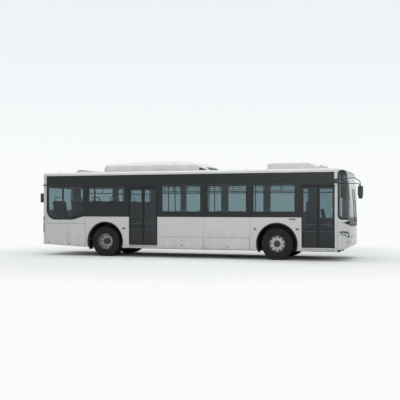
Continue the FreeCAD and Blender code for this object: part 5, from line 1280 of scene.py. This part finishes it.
def pierced_sheet():
    """A fine black mesh: rows of small holes pressed in painted sheet, the holes painted near black as
    painted shade.
    """
    made, shader = finish("pleated_grille", (0.02, 0.02, 0.021), 0.55)
    solid = spread(made, cells(made, 110.0, 0.0), 0.28, 0.36)
    # Painted shade: each hole is near black, where the dark inside of the unit would show through it.
    join(made, blend_colours(made, solid, (0.002, 0.002, 0.002), (0.035, 0.036, 0.037)), shader, "Base Color")
    emboss(made, shader, solid, 0.5, 0.002)
    return made


glass_fibre = mottled(
    "glass_fibre", 0.45, (0.74, 0.745, 0.735), (0.64, 0.64, 0.62), 2.5, (0.35, 0.7),
    gloss=(80.0, 0.34, 0.5, 0.08))
grille_mesh = pierced_sheet()
cooler = mesh_piece("cooler_cover", [
    lid(cooler_start, cooler_end, cooler_half, base_low, base_high, slope_run, 0.170, 0.20),
    lid(crown_start, crown_end, crown_half, base_high - 0.030, crown_high, 0.42, 0.038, 0.10),
], glass_fibre, 35)
inlet = mesh_piece("roof_inlet_cover", [
    lid(inlet_start, inlet_end, inlet_half, inlet_low, inlet_high, 0.26, 0.055, 0.10),
], glass_fibre, 35)
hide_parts("aircon_pod")
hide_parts("front_roof_pod")

crown_top = on_plane(2, crown_high - 0.004, 1)
fan_rings, fan_guards, grilles = [], [], []
for fan_x in fan_places:
    fan_rings.append(bead(disc_ring(fan_x, 0.0, 0.235, 40), 0.030, 0.004, crown_top, 0.003))
    fan_rings.append(plate(disc_ring(fan_x, 0.0, 0.055, 24), 0.004, 0.007, crown_top, 0.002))
    for radius in (0.09, 0.125, 0.16, 0.195):
        fan_rings.append(bead(disc_ring(fan_x, 0.0, radius, 32), 0.006, 0.002, crown_top, 0.005))
    fan_guards.append(plate(disc_ring(fan_x, 0.0, 0.225, 32), 0.0, 0.0045, crown_top, 0.001))
for across in (-0.40, 0.0, 0.40):
    panel = fine(round_corners(0.03, 0.13, across - 0.175, across + 0.175, 0.03), 0.02)
    grilles.append(cover(panel, -0.010, 0.005, on_slope, 0.003, 8))
cheek_corners = ((0.30, 0.008), (0.04, 0.008), (0.10, 0.040), (0.18, 0.072), (0.30, 0.100))
cheek = with_normals(np.array([(cooler_end - back, roof_top + rise) for back, rise in cheek_corners]))
for way in (-1, 1):
    grilles.append(plate(cheek, -0.002, 0.002, on_plane(1, way * cooler_half, way), 0.001))
mesh_piece("cooler_fan_rings", fan_rings, plastic, smooth=50)
mesh_piece("cooler_fan_guards", fan_guards, grille_mesh, smooth=30)
mesh_piece("cooler_grilles", grilles, grille_mesh, smooth=30)

# Roof hatches and joints: each unit and hatch stands on a sealed foot, the hatches have a moulded handle, and
# the roof's sheets meet in three sealed joints.

foot_spans = (
    (cooler_start, cooler_end, cooler_half),
    (inlet_start, inlet_end, inlet_half),
    (rear_axle - 1.605, rear_axle - 0.885, 0.380),
    (front_axle + 1.175, front_axle + 1.505, 0.280),
)
hatch_handles = (
    (rear_axle - 1.575, rear_axle - 1.295, 0.30, roof_top + 0.080),
    (front_axle + 1.230, front_axle + 1.315, 0.20, roof_top + 0.100),
)
roof_joint_places = (rear_axle - 1.95, rear_axle + 4.05, front_axle - 1.10)
on_roof = on_plane(2, roof_top, 1)
feet = [
    bead(fine(round_corners(start, end, -half, half, 0.06)), 0.030, 0.012, on_plane(2, roof_top - 0.018, 1))
    for start, end, half in foot_spans
]
handles = [
    plate(round_corners(start, end, -half, half, 0.02), 0.0, 0.026, on_plane(2, height, 1), 0.008)
    for start, end, half, height in hatch_handles
]
roof_joints = [
    plate(round_corners(joint_x - 0.012, joint_x + 0.012, -1.02, 1.02, 0.01), -0.002, 0.002, on_roof, 0.001)
    for joint_x in roof_joint_places
]
mesh_piece("roof_unit_feet", feet, sealant, smooth=50)
mesh_piece("roof_hatch_handles", handles, plastic)
mesh_piece("roof_joints", roof_joints, sealant)

# Mud flaps: rubber sheets with five moulded ribs, hung behind each pair of wheels from the wheel housings.
# They hang upright and stop well above the road.

flap_behind = 0.628
flap_middle = 1.06
flap_reach = 0.15
flap_bottom = 0.235
flap_top = 0.56
rib_steps = (-0.10, -0.05, 0.0, 0.05, 0.10)
mud_flaps = []
for axle in (front_axle, rear_axle):
    behind_wheel = on_plane(0, axle - flap_behind, -1)
    for side in (-1, 1):
        middle = side * flap_middle
        sheet = round_corners(middle - flap_reach, middle + flap_reach, flap_bottom, flap_top, 0.02)
        mud_flaps.append(plate(sheet, 0.0, 0.008, behind_wheel, 0.002))
        for step in rib_steps:
            rib_y = middle + step
            rib = round_corners(rib_y - 0.004, rib_y + 0.004, flap_bottom + 0.025, flap_top - 0.03, 0.003)
            mud_flaps.append(plate(rib, 0.008, 0.011, behind_wheel, 0.001))
mesh_piece("mud_flaps", mud_flaps, rubber_black)

# Seat pads: foam under woven moquette, laced into each moulded shell. One cushion and one back are shaped by
# a cloth simulation, their undersides held flat on the shell, then sewn across with two channels and repeated
# for every seat.

seat_height = 0.440
seat_depth = 0.410
seat_width = 0.430
seat_gap = 0.020
seat_pitch = 0.750
low_floor = 0.370
deck_floor = 0.870
cab_floor = 0.580
cushion_length = 0.300
back_length = 0.520
shell_back = 0.070
shell_rise = 0.022
shell_margin = 0.090
back_lean = (-0.115, 0.630)
back_reach = 0.345
bench_low = wall_inside - 0.025 - seat_width * 2 - seat_gap
seat_rows = [(mid_door_end + 0.190 + seat_pitch * row, low_floor) for row in range(4)]
seat_rows += [(rear_axle + 0.215 - seat_pitch * row, deck_floor) for row in range(4)]
wheel_low, wheel_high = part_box("steering_wheel")
driver_back_x = (wheel_low.x + wheel_high.x) / 2 - 0.480
driver_y = (wheel_low.y + wheel_high.y) / 2
driver_size = np.array([1.13, 1.16, 1.0])


def pad_form(width, length, thickness, rows=22, columns=20):
    """A flat closed pad: (s, t) in a square go to a round-cornered sheet, and thickness falls off at its rim.

    Across is width/2 s sqrt(1 - k t^2), along is length/2 t sqrt(1 - k s^2), with k = 0.13; the height above
    the shell is thickness ((1 - s^14)(1 - t^14))^0.4, and the underside is flat.
    """
    s = np.sin(np.linspace(-np.pi / 2, np.pi / 2, rows))[:, None] * np.ones(columns * 2 - 1)
    once = np.sin(np.linspace(-np.pi / 2, np.pi / 2, columns))
    t = np.ones(rows)[:, None] * np.concatenate([once, once[::-1][1:]])
    above = np.concatenate([np.ones(columns), np.zeros(columns - 1)])
    across = width / 2 * s * np.sqrt(1 - 0.13 * t ** 2)
    along = length / 2 * t * np.sqrt(1 - 0.13 * s ** 2)
    rise = thickness * np.maximum((1 - s ** 14) * (1 - t ** 14), 0) ** 0.4 * above
    return np.stack([across, along, rise], axis=-1)


def points_of(mesh):
    """A mesh's points as rows of three."""
    points = np.empty(len(mesh.vertices) * 3)
    mesh.vertices.foreach_get("co", points)
    return points.reshape(-1, 3)


def stuffed(name, grid, most):
    """A pad's points and faces after filling: cloth under pressure, no point moved by more than most."""
    mesh = closed_mesh(name, [grid])
    points = points_of(mesh)
    corners = [list(face.vertices) for face in mesh.polygons]
    faces = np.array([face + face[-1:] * (4 - len(face)) for face in corners])
    form = bpy.data.objects.new(name, mesh)
    scene.collection.objects.link(form)
    held = form.vertex_groups.new(name="held")
    held.add(np.flatnonzero(points[:, 2] < 1e-4).tolist(), 1.0, "REPLACE")
    cloth = form.modifiers.new("Cloth", "CLOTH")
    cloth.settings.quality = 5
    cloth.settings.use_pressure = True
    cloth.settings.uniform_pressure_force = 4.0
    cloth.settings.vertex_group_mass = "held"
    cloth.settings.effector_weights.gravity = 0.0
    cloth.point_cache.frame_end = 20
    for frame_number in range(1, 21):
        scene.frame_set(frame_number)
    filled = points_of(form.evaluated_get(bpy.context.evaluated_depsgraph_get()).data)
    reach = np.linalg.norm(filled - points, axis=1, keepdims=True)
    points = points + (filled - points) * np.minimum(1, most / np.maximum(reach, 1e-9))
    bpy.data.objects.remove(form)
    scene.frame_set(1)
    return points, faces


def sewn(form, length, channel, depth=0.005, width=0.007):
    """Two sewn channels across a pad: its upper side sinks by depth exp(-((along - channel) / width)^2)."""
    points, faces = form
    above = np.clip(points[:, 2] / 0.012, 0, 1)
    sink = sum(np.exp(-((points[:, 1] - length * way * channel) / width) ** 2) for way in (-1, 1))
    return points - np.outer(depth * sink * above, (0, 0, 1)), faces


def moquette():
    """Woven moquette: a blue-grey ground with paler flecks, a fine cross weave and a soft sheen."""
    made, shader = finish("moquette", (0.03, 0.045, 0.06), 0.9, Sheen_Weight=0.35)
    fleck = spread(made, cells(made, 46.0), 0.16, 0.24, 1.0, 0.0)
    shade = spread(made, patches(made, 3.0), 0.4, 0.6)
    ground = blend_colours(made, shade, (0.022, 0.036, 0.050), (0.030, 0.044, 0.060))
    join(made, blend_colours(made, fleck, ground, (0.10, 0.13, 0.15)), shader, "Base Color")
    weave = reckon(made, "MULTIPLY", waves(made, 130.0, "Y"), waves(made, 130.0, "X"))
    emboss(made, shader, weave, 0.5, 0.0008)
    return made


def seated(name, form, frames, size=(1, 1, 1)):
    """Copies of a pad, one for each frame of an origin, an across, an along and an outward direction."""
    points, faces = form
    points = points * size
    origins, across, along, out = (np.array(part)[:, None] for part in zip(*frames))
    placed = origins + points[:, :1] * across + points[:, 1:2] * along + points[:, 2:] * out
    all_faces = (faces[None] + len(points) * np.arange(len(frames))[:, None, None]).reshape(-1, 4)
    rows = [list(dict.fromkeys(face)) for face in all_faces.tolist()]
    mesh = bpy.data.meshes.new(name)
    mesh.from_pydata(placed.reshape(-1, 3).tolist(), [], rows)
    fit_piece(name, mesh, cloth_cover, 60, "body")


def pad_frames(seats, depth):
    """Where each seat's cushion and back pad lie: on the shell's sloped top, and on its leaning back."""
    run = depth - shell_margin
    slope = np.array([run, shell_rise]) / math.hypot(run, shell_rise)
    lean = np.array(back_lean) / math.hypot(*back_lean)
    cushions, backs = [], []
    for back_x, base, middle_y in seats:
        top = base + seat_height
        cushions.append((
            (back_x + shell_back + 0.012 + run / 2, middle_y, top + 0.0015), (0, -1, 0),
            (slope[0], 0, slope[1]), (-slope[1], 0, slope[0])))
        backs.append((
            (back_x + shell_back + lean[0] * back_reach, middle_y, top - 0.010 + lean[1] * back_reach),
            (0, 1, 0), (lean[0], 0, lean[1]), (lean[1], 0, -lean[0])))
    return cushions, backs


cloth_cover = moquette()
cushion_form = stuffed("cushion_form", pad_form(0.385, cushion_length, 0.020), 0.010)
back_form = stuffed("back_form", pad_form(0.360, back_length, 0.016, 20, 26), 0.009)
cushion_form = sewn(cushion_form, cushion_length, 0.18)
back_form = sewn(back_form, back_length, 0.20)
for side, name in sides:
    seats = [
        (back_x, base, side * (bench_low + seat_width / 2 + place * (seat_width + seat_gap)))
        for back_x, base in seat_rows for place in (0, 1)
    ]
    cushions, backs = pad_frames(seats, seat_depth)
    seated(name + "_seat_cushions", cushion_form, cushions)
    seated(name + "_seat_backs", back_form, backs)
cushions, backs = pad_frames([(driver_back_x, cab_floor, driver_y)], seat_depth + 0.060)
seated("driver_cushion", cushion_form, cushions, driver_size)
seated("driver_back", back_form, backs, driver_size)

# Grab hoops: a bent steel tube over each pair of seat backs, its ends set into the shells. Passengers who
# stand in the aisle hold on to them.

hoop_radius = 0.013
hoop_bend = 0.06
hoop_behind = 0.078
back_height = 0.640
# The foot and the crown above the top of the seat's back
hoop_foot, hoop_crown = -0.030, 0.125
hoops = []
for side in (-1, 1):
    left, right = side * (bench_low + 0.12), side * (bench_low + seat_width * 2 - 0.10)
    for back_x, base in seat_rows:
        foot_x, peak = back_x - hoop_behind, base + seat_height + back_height
        bends = ((left, hoop_foot), (left, hoop_crown), (right, hoop_crown), (right, hoop_foot))
        corners = [(foot_x, y, peak + rise) for y, rise in bends]
        hoops.append(tube(bent_rail(corners, hoop_bend), hoop_radius, 10))
mesh_piece("grab_hoops", hoops, plated, 50)

# Ceiling: a pale laminated air duct runs under the roof along each side. Its curved face rises from above the
# windows towards the aisle and carries a white light strip, and it stops short of the doorways.

duct_bottom = 2.600
duct_width = 0.34
duct_spans = {
    -1: ((-5.20, mid_door_start - 0.25), (mid_door_end + 0.20, front_door_start - 0.25)),
    1: ((-5.20, 3.40),),
}
# The light strip's section: how far from the duct's edge at the wall, and how high
strip_section = ((0.27, 2.745), (0.37, 2.855), (0.38, 2.848), (0.28, 2.738))


def run_of(section, start, end):
    """A closed section of (y, z) points carried along the bus, its ends closed at their middles."""
    section = np.array(section + section[:1], float)
    middle = np.broadcast_to(section[:-1].mean(axis=0), section.shape)
    rows = ((start, middle), (start, section), (end, section), (end, middle))
    return np.stack([np.column_stack([np.full(len(section), x), points]) for x, points in rows])


laminate = mottled("pale_laminate", 0.5, (0.57, 0.58, 0.58), (0.63, 0.64, 0.64), 120.0, (0.4, 0.6))
diffuser = fluted("light_strip", (0.80, 0.81, 0.80), 0.35, 60.0, "X", 0.4, 0.001)
edge = wall_inside - 0.002
duct_top = roof_top - 0.080 - 0.004
bow = np.linspace(0, 1, 7)
ducts, strips = [], []
for side, spans in duct_spans.items():
    face_y = side * (edge - duct_width * bow ** 0.8)
    face_z = duct_bottom + (duct_top - duct_bottom) * bow ** 1.6
    strip = [(side * (edge - inset), z) for inset, z in strip_section]
    for start, end in spans:
        ducts.append(run_of([(side * edge, duct_top), *zip(face_y, face_z)], start, end))
        strips.append(run_of(strip, start + 0.1, end - 0.1))
mesh_piece("air_ducts", ducts, laminate)
mesh_piece("light_strips", strips, diffuser)

# Step edges: scuffed yellow rubber nosings, glued along the front of each step up to the rear deck. They
# stand a few millimetres proud of the vinyl.

# Each step's front edge and its top
step_edges = ((-2.355, 0.537), (-2.635, 0.703), (-2.915, 0.870))
nosing_rubber = mottled("yellow_nosing", 0.7, (0.50, 0.34, 0.03), (0.22, 0.17, 0.06), 30.0, (0.50, 0.70))
nosings = []
for edge_x, top in step_edges:
    tread = round_corners(edge_x - 0.045, edge_x, -0.320, 0.320, 0.004)
    nosings.append(plate(tread, 0.0, 0.004, on_plane(2, top, 1), 0.002))
mesh_piece("step_nosings", nosings, nosing_rubber)

# Dashboard: a moulded hood over the instruments, the bright rims of two dials, and a row of rocker switches
# below them, all facing the driver.

dash_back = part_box("dashboard")[0].x
dash_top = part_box("dashboard")[1].z
dial_height = dash_top + 0.030
dial_radius = 0.034
dial_places = (-0.085, 0.085)
switch_height = dash_top - 0.060
switch_places = np.arange(-0.30, 0.31, 0.05)


def hood_row(step):
    """One arch of the hood, narrower and lower as it runs forward: rise 0.085 sqrt(1 - step^2) + 0.004."""
    turn = np.linspace(0, np.pi, 15)
    rise = 0.085 * math.sqrt(max(1 - step ** 2, 0)) + 0.004
    width = 0.215 * (1 - 0.25 * step ** 2)
    across = driver_y + width * np.cos(turn)
    up = dash_top - 0.006 + rise * np.sin(turn) ** 0.6
    arch = np.stack([np.full(15, dash_back + 0.005 + 0.200 * step), across, up], axis=1)
    return np.concatenate([arch, arch[:1]])


dial_face = grained("dial_face", (0.03, 0.032, 0.035), 0.3, 40.0, 0.2, 0.4)
dial_plane = on_plane(0, dash_back + 0.005, -1)
switch_plane = on_plane(0, dash_back, -1)
dials = [
    bead(disc_ring(driver_y + across, dial_height, dial_radius, 24), 0.006, 0.004, dial_plane)
    for across in dial_places
]
switches = [
    plate(centred(driver_y + across, switch_height, 0.017, 0.015, 0.004), -0.001, 0.007, switch_plane, 0.003)
    for across in switch_places
]
hood_rows = np.stack([hood_row(step) for step in np.linspace(0, 1, 9)])
mesh_piece("dash_hood", [poled(hood_rows)], plastic, 50)
mesh_piece("dash_dials", dials, plated)
mesh_piece("dash_switches", switches, dial_face)
